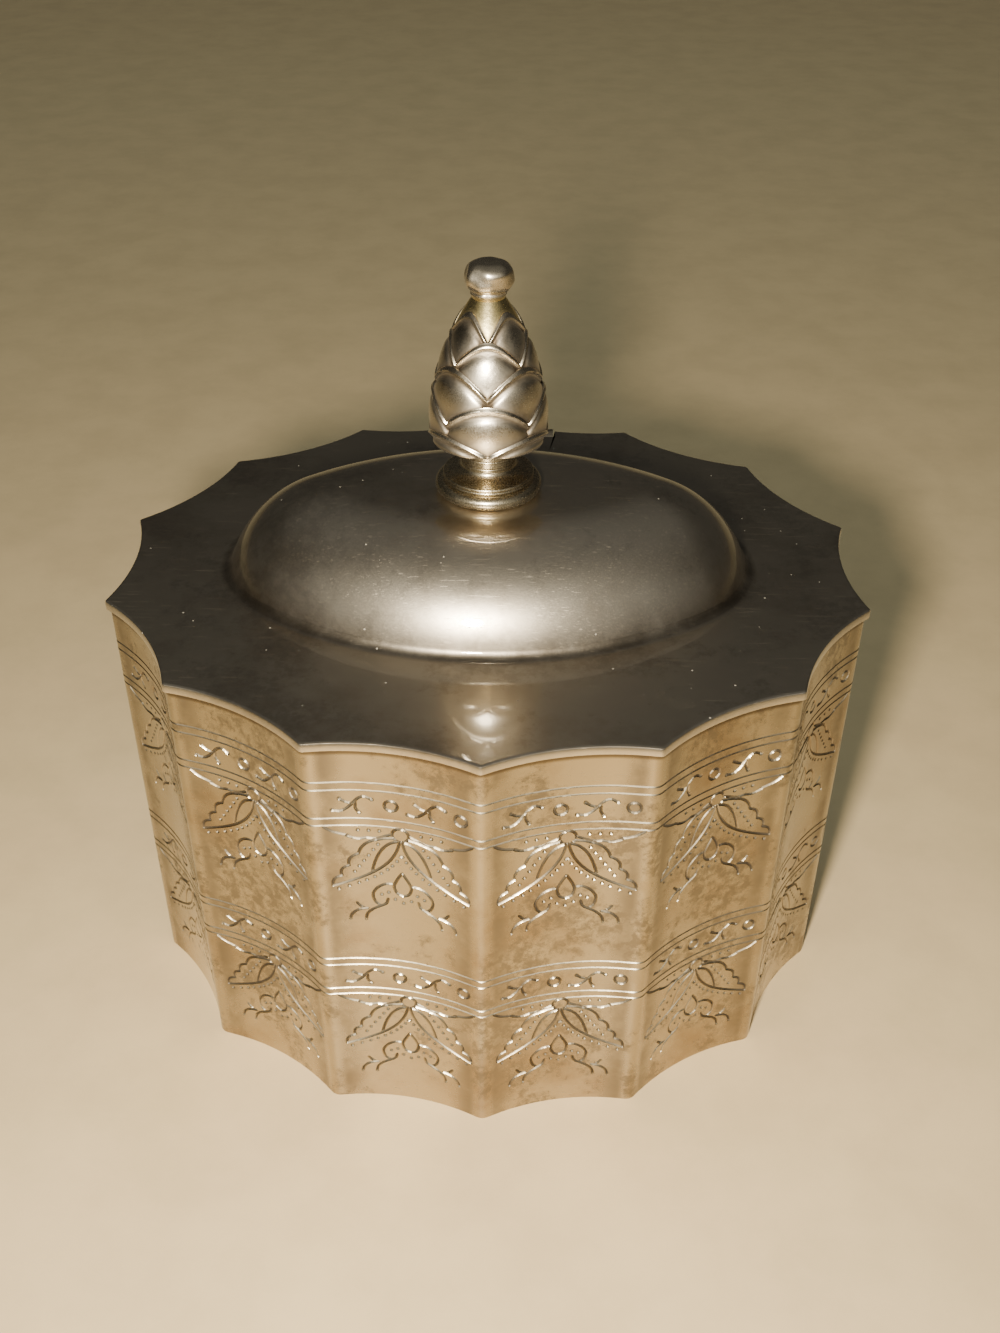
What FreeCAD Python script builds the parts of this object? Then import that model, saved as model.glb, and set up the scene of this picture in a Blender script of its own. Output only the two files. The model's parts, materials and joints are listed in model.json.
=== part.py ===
import FreeCAD
import Part
import math
import os

# Oval fluted box with a hinged, domed lid and a scaled bud finial.
# Millimetres. +Z is up, the origin is the middle of the underside, and the front faces -Y.

# Plan: ridge points stand on an oval, equal distances apart, with a concave flute between each two
oval_half_length = 52.0
oval_half_width = 43.6
flute_count = 14
flute_depth = 1.8

# Body: a fluted wall with a base let into its foot
body_height = 63.1
wall_thickness = 1.0
wall_setback = 0.3
ridge_inner_radius = 0.7
base_thickness = 1.2
solder_gap = 0.03

# Lid: flat scalloped flange, cove and oval dome with a flat crown that seats the finial
lid_thickness = 1.3
lid_corner_radius = 0.35
lid_edge_bevel = 0.3
flange_width_at_ends = 15.4
flange_width_at_sides = 19.6
dome_rise = 11.7
cove_radius = 1.75
seat_margin = 0.2
crown_end_radius = 0.5

# Hinge, set into a notch in the middle of the back
hinge_length = 19.0
hinge_middle_length = 7.4
hinge_end_gap = 0.2
hinge_clearance = 0.3
hinge_axis_margin = 0.1
knuckle_radius = 2.0
hinge_pin_radius = 0.9
pin_clearance = 0.05
leaf_thickness = 0.7
body_leaf_height = 11.0
lid_leaf_reach = 5.5

# Pedestal: a turned spool with a moulded foot
pedestal_foot_radius = 7.0
pedestal_foot_height = 1.9
pedestal_bead_count = 2
pedestal_bead_radius = 5.95
pedestal_bead_height = 0.45
pedestal_cove_lip = 0.35
pedestal_cove_height = 1.15
pedestal_shaft_radius = 3.45
pedestal_shaft_length = 3.75
pedestal_ring_count = 2
pedestal_ring_gap = 0.15
pedestal_ring_pitch = 1.05
pedestal_ring_width = 0.4
pedestal_ring_relief = 0.18

# Finial: a bud of overlapping scales on a round core, with a neck and a button
bud_radius = 7.7
bud_widest_height = 0.7
bud_height = 18.6
neck_radius = 2.3
neck_length = 0.5
button_radius = 3.1
button_height = 4.0
scales_per_row = 4
scale_rows = 5
scale_row_shrink = 0.86
scale_crown_gap = 1.2
scale_arch_height = 3.0
scale_tuck = 2.6
scale_lip = 0.2
scale_root_depth = 0.5
scale_pillow = 0.12
calyx_height = 2.5
calyx_arch_height = 1.7
calyx_foot = 0.4

# Fixing of the finial, under the dome
stud_radius = 1.5
stud_clearance = 0.05
stud_depth_in_finial = 8.0
stud_tip_gap = 0.3
stud_tail = 0.5
washer_radius = 4.5
washer_thickness = 0.6
nut_across_flats = 6.0
nut_height = 2.4

# Sizes that follow from the ones above
lid_top = body_height + lid_thickness
dome_half_length = oval_half_length - flange_width_at_ends
dome_half_width = oval_half_width - flange_width_at_sides
seat_radius = pedestal_foot_radius + seat_margin
seat_height = lid_top + dome_rise
crown_half_width = seat_radius - crown_end_radius
dome_end_radius = dome_half_width - crown_half_width
dome_end_centre = dome_half_length - dome_end_radius
dome_side_centre = (dome_end_centre ** 2 - crown_half_width ** 2) / (2 * crown_half_width)
dome_end_turn = math.degrees(math.atan2(dome_side_centre, dome_end_centre))
bead_top = seat_height + pedestal_foot_height + pedestal_bead_count * pedestal_bead_height
shaft_bottom = bead_top + pedestal_cove_height
finial_base = shaft_bottom + pedestal_shaft_length
button_base = finial_base + bud_height + neck_length
stud_hole_radius = stud_radius + stud_clearance
wall_inner_inset = wall_setback + wall_thickness
wall_nose = ridge_inner_radius + wall_inner_inset
lid_nose = lid_corner_radius + lid_edge_bevel
hinge_half = hinge_length / 2
hinge_notch_half = hinge_half + hinge_clearance
hinge_axis_height = lid_top - knuckle_radius

UP = FreeCAD.Vector(0, 0, 1)
ALONG_X = FreeCAD.Vector(1, 0, 0)
ORIGIN = FreeCAD.Vector(0, 0, 0)
HALVINGS = 50
TOUCHING = 1e-6


def point(x, y, z=0.0):
    return FreeCAD.Vector(x, y, z)


def section_point(radius, height):
    return FreeCAD.Vector(radius, 0, height)


def around(centre, radius, degrees):
    # a point of a section, at an angle from level about a centre
    angle = math.radians(degrees)
    return section_point(centre.x + radius * math.cos(angle), centre.z + radius * math.sin(angle))


def arc(start, middle, end):
    return Part.Arc(start, middle, end).toShape()


def line(start, end):
    return Part.makeLine(start, end)


def face_within(edges):
    # the face inside the edges taken in turn, straight where one edge doesn't meet the next
    path = []
    place = edges[-1].Vertexes[-1].Point
    for edge in edges:
        first, last = [vertex.Point for vertex in edge.Vertexes]
        if not place.isEqual(first, TOUCHING):
            path.append(line(place, first))
        path.append(edge)
        place = last
    return Part.Face(Part.Wire(path))


def turned(bottom, edges, top):
    # a solid of revolution: from the axis at bottom along the edges and back to the axis at top
    axis = line(section_point(0, top), section_point(0, bottom))
    return face_within([axis] + edges).revolve(ORIGIN, UP, 360)


def block(low, high):
    return Part.makeBox(high.x - low.x, high.y - low.y, high.z - low.z, low)


def rod(radius, bottom, top):
    return Part.makeCylinder(radius, top - bottom, section_point(0, bottom), UP)


# Plan outline

def oval_point(angle):
    return point(oval_half_length * math.cos(angle), oval_half_width * math.sin(angle))


def angle_one_chord_on(angle, chord):
    low = angle
    high = angle + math.pi
    for _ in range(HALVINGS):
        middle = (low + high) / 2
        if (oval_point(middle) - oval_point(angle)).Length < chord:
            low = middle
        else:
            high = middle
    return low


def ridge_points():
    # walks round the oval from the front, with the chord that closes on the start
    start = -math.pi / 2
    low = 0.0
    high = 2 * oval_half_width
    for _ in range(HALVINGS):
        chord = (low + high) / 2
        angle = start
        points = []
        for _ in range(flute_count):
            points.append(oval_point(angle))
            angle = angle_one_chord_on(angle, chord)
        if angle < start + 2 * math.pi:
            low = chord
        else:
            high = chord
    return points


RIDGES = ridge_points()
CHORD = (RIDGES[1] - RIDGES[0]).Length
FLUTE_RADIUS = (CHORD ** 2 / 4 + flute_depth ** 2) / (2 * flute_depth)


def flute(index):
    # the flute after a ridge is an arc about a centre outside the oval
    start = RIDGES[index % flute_count]
    end = RIDGES[(index + 1) % flute_count]
    outward = (end - start).cross(UP).normalize()
    centre = (start + end) * 0.5 + outward * (FLUTE_RADIUS - flute_depth)
    return centre, outward


def ridge(index, nose):
    # the round that blends two flutes at a ridge: its centre and the way in from the ridge
    before, _ = flute(index - 1)
    after, _ = flute(index)
    half = (after - before).Length / 2
    inward = UP.cross(after - before).normalize()
    reach = math.sqrt((FLUTE_RADIUS + nose) ** 2 - half ** 2)
    return (before + after) * 0.5 + inward * reach, inward


def outline(inset, nose, height):
    # the scalloped outline moved in by inset; nose is the radius that its ridges have before the move
    share = (FLUTE_RADIUS + inset) / (FLUTE_RADIUS + nose)
    lift = point(0, 0, height)
    edges = []
    for index in range(flute_count):
        before, _ = flute(index - 1)
        after, outward = flute(index)
        centre, inward = ridge(index, nose)
        following, _ = ridge(index + 1, nose)
        enter = before + (centre - before) * share + lift
        tip = centre - inward * (nose - inset) + lift
        leave = after + (centre - after) * share + lift
        hollow = after - outward * (FLUTE_RADIUS + inset) + lift
        end = after + (following - after) * share + lift
        edges.append(arc(enter, tip, leave))
        edges.append(arc(leave, hollow, end))
    return Part.Wire(edges)


def plate(inset, nose, bottom, top):
    return Part.Face(outline(inset, nose, bottom)).extrude(UP * (top - bottom))


# Place of the hinge: its leaf lies against the wall's inside, its axis just behind the lid's edge

def strip(low_x, high_x):
    # the back half of the plan between two places along the length
    return Part.makePlane(high_x - low_x, 2 * oval_half_width, point(low_x, 0))


def leaf_face_place():
    wall = Part.Face(outline(wall_setback, wall_nose, 0))
    ring = wall.cut(Part.Face(outline(wall_inner_inset, wall_nose, 0)))
    return ring.common(strip(-hinge_half, hinge_half)).BoundBox.YMin - solder_gap


def hinge_axis_place():
    flange = Part.Face(outline(0, lid_nose, 0))
    beside = flange.common(strip(hinge_notch_half, 2 * oval_half_length))
    return beside.BoundBox.YMax + hinge_axis_margin


LEAF_FACE = leaf_face_place()
HINGE_AXIS = hinge_axis_place()
BARREL_BOTTOM = hinge_axis_height - knuckle_radius
BARREL_FRONT = HINGE_AXIS - knuckle_radius


def across(radius, low_x, high_x):
    # a rod along the hinge axis
    start = point(low_x, HINGE_AXIS, hinge_axis_height)
    return Part.makeCylinder(radius, high_x - low_x, start, ALONG_X)


def pin_bore():
    return across(hinge_pin_radius + pin_clearance, -hinge_length, hinge_length)


def hinge_notch(front, bottom, top):
    low = point(-hinge_notch_half, front, bottom)
    return block(low, point(hinge_notch_half, 2 * oval_half_width, top))


# Body pieces

def body_wall():
    wall = plate(wall_setback, wall_nose, 0, body_height)
    inside = plate(wall_inner_inset, wall_nose, 0, body_height)
    return wall.cut(inside).cut(hinge_notch(0, BARREL_BOTTOM - hinge_clearance, body_height))


def base_plate():
    return plate(wall_inner_inset + solder_gap, wall_nose, 0, base_thickness)


# Lid

def lid_section():
    # the sheet from the edge of its crown to beyond the rim, the same thickness throughout
    run = dome_half_width - seat_radius
    dome_radius = (run ** 2 + dome_rise ** 2) / (2 * dome_rise) - cove_radius
    dome_centre = section_point(seat_radius, seat_height - dome_radius)
    cove_centre = section_point(dome_half_width, lid_top + cove_radius)
    turn = math.degrees(math.atan2(cove_centre.z - dome_centre.z, run))
    far = 2 * oval_half_length

    def dome_points(depth):
        return [around(dome_centre, dome_radius - depth, angle) for angle in (90, (90 + turn) / 2, turn)]

    def cove_points(depth):
        start = 180 + turn
        return [around(cove_centre, cove_radius + depth, angle) for angle in (start, (start + 270) / 2, 270)]

    inner = [arc(*dome_points(lid_thickness)), arc(*cove_points(lid_thickness))]
    rim = line(section_point(far, body_height), section_point(far, lid_top))
    outer = [arc(*reversed(cove_points(0))), arc(*reversed(dome_points(0)))]
    crown_top = section_point(crown_half_width, seat_height)
    crown = line(crown_top, crown_top - UP * lid_thickness)
    return face_within([crown] + inner + [rim] + outer)


def carried_round(section, centre, inner_radius, start, turn):
    # the lid's section turned about a centre that its inner edge keeps a distance from
    placed = section.translated(centre + point(inner_radius - crown_half_width, 0))
    placed.rotate(centre, UP, start)
    return placed.revolve(centre, UP, turn)


def crown_plate():
    # the flat crown between the side arcs, pointed at both ends
    end = point(dome_end_centre, 0)
    side = point(0, crown_half_width)
    edges = Part.Wire([arc(end, side, end * -1), arc(end * -1, side * -1, end)])
    plate_below = edges.translated(UP * (seat_height - lid_thickness))
    return Part.Face(plate_below).extrude(UP * lid_thickness)


def lid_sheet():
    # one section carried round an oval of four arcs, with the crown inside them
    section = lid_section()
    end = carried_round(section, point(dome_end_centre, 0), 0, -dome_end_turn, 2 * dome_end_turn)
    side = carried_round(section, point(0, -dome_side_centre), dome_side_centre + crown_half_width,
                         dome_end_turn, 180 - 2 * dome_end_turn)
    pieces = [end, side]
    for piece in (end, side):
        pieces.append(piece.rotated(ORIGIN, UP, 180))
    return crown_plate().multiFuse(pieces).removeSplitter()


def lid():
    below = body_height - lid_thickness
    above = seat_height + lid_thickness
    trim = Part.makeLoft([
        outline(0, lid_nose, below),
        outline(0, lid_nose, lid_top - lid_edge_bevel),
        outline(lid_edge_bevel, lid_nose, lid_top),
        outline(lid_edge_bevel, lid_nose, above),
    ], True, True)
    notch = hinge_notch(BARREL_FRONT - hinge_clearance, below, above)
    return lid_sheet().common(trim).cut(notch).cut(rod(stud_hole_radius, below, above))


# Hinge pieces

def end_knuckles():
    # the two outer stretches of the barrel, as pairs of ends
    inner = hinge_middle_length / 2 + hinge_end_gap
    return ((-hinge_half, -inner), (inner, hinge_half))


def hinge_body_leaf():
    # an upright leaf whose two ends bend out under the barrel and roll round the pin
    inside = LEAF_FACE - leaf_thickness
    top = BARREL_BOTTOM - hinge_clearance
    bend = BARREL_BOTTOM + leaf_thickness
    leaf = block(point(-hinge_half, inside, top - body_leaf_height), point(hinge_half, LEAF_FACE, top))
    rolled = []
    for low_x, high_x in end_knuckles():
        rolled.append(block(point(low_x, inside, top), point(high_x, LEAF_FACE, bend)))
        rolled.append(block(point(low_x, inside, BARREL_BOTTOM), point(high_x, HINGE_AXIS, bend)))
        rolled.append(across(knuckle_radius, low_x, high_x))
    return leaf.multiFuse(rolled).cut(pin_bore()).removeSplitter()


def hinge_lid_leaf():
    # a level leaf under the flange, with the middle knuckle
    half = hinge_middle_length / 2
    front = BARREL_FRONT - hinge_clearance - lid_leaf_reach
    leaf = block(point(-half, front, body_height - leaf_thickness), point(half, HINGE_AXIS, body_height))
    return leaf.fuse(across(knuckle_radius, -half, half)).cut(pin_bore()).removeSplitter()


def hinge_pin():
    return across(hinge_pin_radius, -hinge_half, hinge_half)


# Pedestal

def bead(crest, bottom, height, relief):
    # a half-round moulding on a turned piece, from its lower to its upper edge
    low = section_point(crest - relief, bottom)
    high = section_point(crest - relief, bottom + height)
    return arc(low, section_point(crest, bottom + height / 2), high)


def finial_pedestal():
    mouldings = [bead(pedestal_foot_radius, seat_height, pedestal_foot_height, pedestal_foot_height / 2)]
    for number in range(pedestal_bead_count):
        bottom = seat_height + pedestal_foot_height + number * pedestal_bead_height
        mouldings.append(bead(pedestal_bead_radius, bottom, pedestal_bead_height, pedestal_bead_height / 2))
    lip = section_point(pedestal_bead_radius - pedestal_cove_lip, bead_top)
    neck = section_point(pedestal_shaft_radius, shaft_bottom)
    corner = section_point(neck.x, lip.z)
    mouldings.append(arc(lip, (lip + neck + corner) * (1 / 3), neck))
    for number in range(pedestal_ring_count):
        bottom = shaft_bottom + pedestal_ring_gap + number * pedestal_ring_pitch
        crest = pedestal_shaft_radius + pedestal_ring_relief
        mouldings.append(bead(crest, bottom, pedestal_ring_width, pedestal_ring_relief))
    end = section_point(pedestal_shaft_radius, finial_base)
    mouldings.append(line(end, section_point(0, finial_base)))
    return turned(seat_height, mouldings, finial_base).cut(rod(stud_hole_radius, seat_height, finial_base))


# Finial

BUD_FALL = bud_radius - neck_radius
BUD_CURVE = ((bud_height - bud_widest_height) ** 2 + BUD_FALL ** 2) / (2 * BUD_FALL)
SCALE_HALF_TURN = 180 / scales_per_row


def turned_bud(bottom, edges, top):
    # a turned part of the bud, with its seam halfway between the tip and the end of a scale
    part = turned(bottom, edges, top)
    part.rotate(ORIGIN, UP, SCALE_HALF_TURN / 2)
    return part


def bud_point(height, depth):
    # a point of the bud's section, depth inside its outline: a bowl, and above it a long taper to the neck
    rise = height - bud_widest_height
    curve = BUD_CURVE if rise > 0 else bud_widest_height
    width = bud_radius - curve + math.sqrt(curve ** 2 - rise ** 2)
    return section_point(width - depth, finial_base + height)


def bud_arc(low, middle, high):
    # an arc through three pairs of height and depth
    return arc(bud_point(*low), bud_point(*middle), bud_point(*high))


def bud_core():
    depth = scale_root_depth
    middle = (bud_widest_height + bud_height) / 2
    bowl = bud_arc((0, depth), (bud_widest_height / 2, depth), (bud_widest_height, depth))
    taper = bud_arc((bud_widest_height, depth), (middle, depth), (bud_height, depth))
    shoulder = line(bud_point(bud_height, depth), section_point(0, finial_base + bud_height))
    return turned_bud(finial_base, [bowl, taper, shoulder], finial_base + bud_height)


def button():
    edge = bead(button_radius, button_base, button_height, button_height / 2)
    top = button_base + button_height
    flat = line(section_point(button_radius - button_height / 2, top), section_point(0, top))
    return turned(button_base, [edge, flat], top)


def scale_top(row):
    # tips of the rows, closer together towards the neck
    steps = [scale_row_shrink ** step for step in range(scale_rows - 1)]
    climb = bud_height - scale_crown_gap - calyx_height
    return calyx_height + climb * sum(steps[:row]) / sum(steps)


def scale_row(row):
    # a flaring collar cut to round-topped scales; the row above stands out from behind it
    top = scale_top(row)
    ends = top - (scale_arch_height if row else calyx_arch_height)
    foot = max(ends - scale_tuck, calyx_foot)
    lip = bud_point(top, -scale_lip)
    swell = bud_arc((foot, scale_root_depth), ((top + foot) / 2, -scale_pillow), (top, -scale_lip))
    collar = turned_bud(finial_base + foot, [swell, line(lip, section_point(0, lip.z))], lip.z)
    half_width = lip.x * math.sin(math.radians(SCALE_HALF_TURN))
    front = -2 * bud_radius

    def on_front(x, height):
        return point(x, front, finial_base + height)

    shoulders = [on_front(side * half_width, ends) for side in (-1, 1)]
    feet = [on_front(side * 2 * half_width, foot) for side in (-1, 1)]
    face = Part.Face(Part.Wire([
        arc(shoulders[0], on_front(0, top), shoulders[1]),
        line(shoulders[1], feet[1]),
        line(feet[1], feet[0]),
        line(feet[0], shoulders[0]),
    ]))
    blades = []
    for number in range(scales_per_row):
        blade = face.extrude(point(0, -front, 0))
        blade.rotate(ORIGIN, UP, SCALE_HALF_TURN * (row + 1 + 2 * number))
        blades.append(blade)
    return collar.common(blades[0].multiFuse(blades[1:]))


def finial():
    rows = [scale_row(row) for row in range(scale_rows)]
    neck = rod(neck_radius, finial_base + bud_height / 2, button_base + button_height / 2)
    bud = bud_core().multiFuse(rows + [neck, button()])
    hole = rod(stud_hole_radius, finial_base, finial_base + stud_depth_in_finial + stud_tip_gap)
    return bud.cut(hole).removeSplitter()


# Fixing of the finial, under the dome

SEAT_UNDERSIDE = seat_height - lid_thickness
WASHER_BOTTOM = SEAT_UNDERSIDE - washer_thickness
NUT_BOTTOM = WASHER_BOTTOM - nut_height


def finial_stud():
    return rod(stud_radius, NUT_BOTTOM - stud_tail, finial_base + stud_depth_in_finial)


def finial_washer():
    ring = rod(washer_radius, WASHER_BOTTOM, SEAT_UNDERSIDE)
    return ring.cut(rod(stud_hole_radius, WASHER_BOTTOM, SEAT_UNDERSIDE))


def finial_nut():
    hexagon = []
    for corner in range(7):
        angle = corner * math.pi / 3
        reach = nut_across_flats / math.sqrt(3)
        hexagon.append(point(reach * math.cos(angle), reach * math.sin(angle), NUT_BOTTOM))
    nut = Part.Face(Part.makePolygon(hexagon)).extrude(UP * nut_height)
    return nut.cut(rod(stud_hole_radius, NUT_BOTTOM, WASHER_BOTTOM))


PIECES = (
    body_wall,
    base_plate,
    lid,
    hinge_body_leaf,
    hinge_lid_leaf,
    hinge_pin,
    finial_pedestal,
    finial,
    finial_stud,
    finial_washer,
    finial_nut,
)

os.makedirs("parts", exist_ok=True)
for piece in PIECES:
    shape = piece()
    shape.exportStep("parts/" + piece.__name__ + ".step")
    print(piece.__name__, len(shape.Solids), "solid, valid", shape.isValid(), round(shape.Volume, 1), "mm3")
print("hinge axis at y", round(HINGE_AXIS, 3), "z", round(hinge_axis_height, 3))
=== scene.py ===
"""Oval fluted table box: engraved wall, domed lid, scaled bud finial, plate finishes and a plain stage."""

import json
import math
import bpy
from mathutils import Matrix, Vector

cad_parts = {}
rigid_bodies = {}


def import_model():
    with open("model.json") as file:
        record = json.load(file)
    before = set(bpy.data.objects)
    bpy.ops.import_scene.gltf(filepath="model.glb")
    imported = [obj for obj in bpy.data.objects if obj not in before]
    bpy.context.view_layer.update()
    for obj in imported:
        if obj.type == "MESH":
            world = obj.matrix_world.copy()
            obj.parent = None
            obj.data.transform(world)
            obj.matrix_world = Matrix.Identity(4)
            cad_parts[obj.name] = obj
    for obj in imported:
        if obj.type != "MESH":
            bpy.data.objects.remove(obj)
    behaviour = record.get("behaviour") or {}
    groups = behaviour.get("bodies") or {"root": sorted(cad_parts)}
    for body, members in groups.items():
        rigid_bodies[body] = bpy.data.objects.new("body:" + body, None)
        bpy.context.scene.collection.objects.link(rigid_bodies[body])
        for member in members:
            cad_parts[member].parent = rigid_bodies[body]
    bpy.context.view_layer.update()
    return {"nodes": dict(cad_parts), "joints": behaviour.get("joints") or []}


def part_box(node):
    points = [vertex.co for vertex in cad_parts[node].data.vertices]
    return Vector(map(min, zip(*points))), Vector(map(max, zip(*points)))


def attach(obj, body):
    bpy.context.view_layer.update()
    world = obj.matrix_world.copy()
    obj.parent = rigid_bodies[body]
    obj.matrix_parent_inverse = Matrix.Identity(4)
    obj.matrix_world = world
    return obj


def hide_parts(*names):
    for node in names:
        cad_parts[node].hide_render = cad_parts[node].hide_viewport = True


bl_info = {
    "name": "Oval Fluted Box",
    "version": (1, 0, 0),
    "blender": (4, 5, 0),
    "location": "3D View > Sidebar > Oval Box",
    "description": "Builds an engraved oval box with a domed lid and a scaled bud finial on its frame",
    "category": "Add Mesh",
}

import bpy
import numpy as np
from mathutils import Matrix, Vector, noise
from mathutils.geometry import delaunay_2d_cdt

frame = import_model()

MM = 0.001
HALVINGS = 50
LID_SHEET = 1.3 * MM

# Places that the frame gives
WALL_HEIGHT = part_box("body_wall")[1].z
LID_TOP = WALL_HEIGHT + LID_SHEET
SEAT_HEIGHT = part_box("lid")[1].z
FINIAL_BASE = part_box("finial")[0].z
PEDESTAL_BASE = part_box("finial_pedestal")[0].z
PEDESTAL_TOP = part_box("finial_pedestal")[1].z
HINGE_AXIS = Vector(frame["joints"][0]["pos_m"])
HINGE_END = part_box("hinge_body_leaf")[1].x
KNUCKLE_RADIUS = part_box("hinge_body_leaf")[1].y - HINGE_AXIS.y
STUD_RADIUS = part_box("finial_stud")[1].x


def length(name, description, default):
    return bpy.props.FloatProperty(
        name=name, description=description, default=default, min=0.0, precision=5, unit="LENGTH")


def share(name, description, default):
    return bpy.props.FloatProperty(
        name=name, description=description, default=default, min=0.0, max=1.0, subtype="FACTOR")


def colour(name, description, default):
    return bpy.props.FloatVectorProperty(
        name=name, description=description, default=default, min=0.0, max=1.0, size=3, subtype="COLOR")


def count(name, description, default):
    return bpy.props.IntProperty(name=name, description=description, default=default, min=1)


class OvalBoxPlan(bpy.types.PropertyGroup):
    """The scalloped plan that wall and lid share."""

    half_length: length("Half length", "From the middle to a ridge at the end of the oval", 0.052)
    half_width: length("Half width", "From the middle to the front ridge", 0.0436)
    flutes: count("Flutes", "Concave flutes round the wall", 14)
    flute_depth: length("Flute depth", "Depth of a flute below the line between its ridges", 0.0018)
    wall_setback: length("Wall setback", "How far the wall stands behind the lid's edge", 0.0003)
    wall_thickness: length("Wall thickness", "Thickness of the wall's sheet", 0.001)
    wall_ridge: length("Wall ridge radius", "Round on the outside of a ridge of the wall", 0.0017)
    lid_ridge: length("Lid ridge radius", "Round at a point of the lid's edge", 0.00065)
    hinge_clearance: length("Hinge clearance", "Air round the hinge in its notch", 0.0003)


class OvalBoxEngraving(bpy.types.PropertyGroup):
    """The engraved bands on the wall."""

    upper_band: length("Upper band", "Height of the lowest ruled line of the upper band", 0.0514)
    lower_band: length("Lower band", "Height of the lowest ruled line of the lower band", 0.0213)
    shift: length("Motif shift", "How far the leaves stand from the middle of a flute", 0.0003)
    line_width: length("Line width", "Width of a ruled line", 0.00028)
    line_depth: length("Line depth", "Depth of a ruled line", 0.00017)
    stroke_width: length("Stroke width", "Width of an engraved stroke", 0.00044)
    stroke_depth: length("Stroke depth", "Depth of an engraved stroke", 0.00026)
    dot_radius: length("Dot radius", "Radius of a punched dot", 0.00031)
    dot_depth: length("Dot depth", "Depth of a punched dot", 0.00022)


class OvalBoxLid(bpy.types.PropertyGroup):
    """The flange, cove and dome of the lid."""

    thickness: length("Thickness", "Thickness of the lid's sheet", LID_SHEET)
    edge_round: length("Edge round", "Round on the upper edge of the flange", 0.0003)
    dome_half_length: length("Dome half length", "From the middle to the foot of the cove at an end", 0.0366)
    dome_half_width: length("Dome half width", "From the middle to the foot of the cove in front", 0.024)
    cove_radius: length("Cove radius", "Radius of the cove between flange and dome", 0.00175)
    seat_radius: length("Seat radius", "Half width of the flat crown", 0.0072)
    crown_end_radius: length("Crown end radius", "Round at the ends of the flat crown", 0.0005)


class OvalBoxFinial(bpy.types.PropertyGroup):
    """The bud, its scales and its button."""

    bud_radius: length("Bud radius", "Widest radius of the bud", 0.0077)
    widest_height: length("Widest height", "Height of the widest place above the bud's foot", 0.0007)
    bud_height: length("Bud height", "From the foot to the neck", 0.0186)
    neck_radius: length("Neck radius", "Radius of the neck", 0.0023)
    button_radius: length("Button radius", "Radius of the button", 0.0031)
    button_height: length("Button height", "Height of the button", 0.004)
    scales: count("Scales in a row", "Scales round the bud in each row", 4)
    rows: count("Rows", "Rows of scales", 5)
    lip: length("Lip", "How far a scale's upper edge stands out", 0.00026)
    pillow: length("Pillow", "How far the middle of a scale swells", 0.00042)
    rim: length("Rim", "Height of the bead along a scale's edge", 0.00026)


class OvalBoxPedestal(bpy.types.PropertyGroup):
    """The turned pedestal; heights run from its underside."""

    underside_radius: length("Underside radius", "Radius of the flat underside", 0.0055)
    foot_radius: length("Foot radius", "Radius of the rounded foot", 0.007)
    foot_height: length("Foot height", "Height of the rounded foot", 0.0019)
    foot_relief: length("Foot relief", "How far the foot is rounded", 0.00095)
    ring_radius: length("Ring radius", "Radius of the two rings on the foot", 0.00595)
    ring_height: length("Ring height", "Height of each ring", 0.00045)
    ring_relief: length("Ring relief", "How far a ring is rounded", 0.00022)
    lip_radius: length("Lip radius", "Radius of the cove's lower edge", 0.0056)
    cove_top: length("Cove top", "Height where the cove meets the shaft", 0.00395)
    shaft_radius: length("Shaft radius", "Radius of the shaft", 0.00345)
    collar_relief: length("Collar relief", "How far a collar stands out of the shaft", 0.00018)
    collar_height: length("Collar height", "Height of a collar", 0.0004)
    lower_collar: length("Lower collar", "Height of the lower collar's lower edge", 0.0041)
    upper_collar: length("Upper collar", "Height of the upper collar's lower edge", 0.00515)


class OvalBoxFinish(bpy.types.PropertyGroup):
    """Colours of the metal."""

    silver: colour("Silver", "Bright plate", (0.66, 0.585, 0.465))
    champagne: colour("Champagne", "Warm plate of the wall", (0.455, 0.393, 0.28))
    tarnish: colour("Tarnish", "Plate that has gone brown", (0.285, 0.21, 0.13))
    # Also painted as shade beside the wall's ridges
    film_and_ridge_shade: colour("Film", "Grey film in patches on the wall", (0.20, 0.165, 0.12))
    # Also painted as shade under the lid's edge, in the lid's cove and in the finial's recesses
    recess: colour("Recess", "Dark film in cuts and corners", (0.10, 0.075, 0.05))
    dust: colour("Dust", "Specks of dust on the lid", (0.24, 0.215, 0.175))
    gilt: colour("Worn neck", "Yellow metal that shows at the neck", (0.72, 0.58, 0.26))
    brass: colour("Brass", "Nut, washer and stud", (0.62, 0.45, 0.2))
    steel: colour("Steel", "Hinge pin", (0.5, 0.5, 0.5))


class OvalBoxStage(bpy.types.PropertyGroup):
    """Floor, light and camera."""

    floor: colour("Floor", "Colour of the floor", (0.66, 0.485, 0.27))
    overhead: share("Overhead", "Brightness of the room overhead", 0.13)
    surround: share("Surround", "Brightness of the room at eye level", 0.035)
    front: share("Front", "Brightness of the room behind the camera", 0.4)
    key_power: bpy.props.FloatProperty(
        name="Key power", description="Power of the light beside the camera", default=1.25, unit="POWER")
    fill_power: bpy.props.FloatProperty(
        name="Fill power", description="Power of the large overhead light", default=2.4, unit="POWER")
    focal_length: bpy.props.FloatProperty(
        name="Focal length", description="Focal length on a 36 mm sensor", default=38.12, unit="CAMERA")


# The plan, as complex numbers: x along the box, y to its back

def halved(low, high, is_short):
    """The place between low and high up to which a test holds, found by halving."""
    for _ in range(HALVINGS):
        middle = (low + high) / 2
        if is_short(middle):
            low = middle
        else:
            high = middle
    return low


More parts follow.
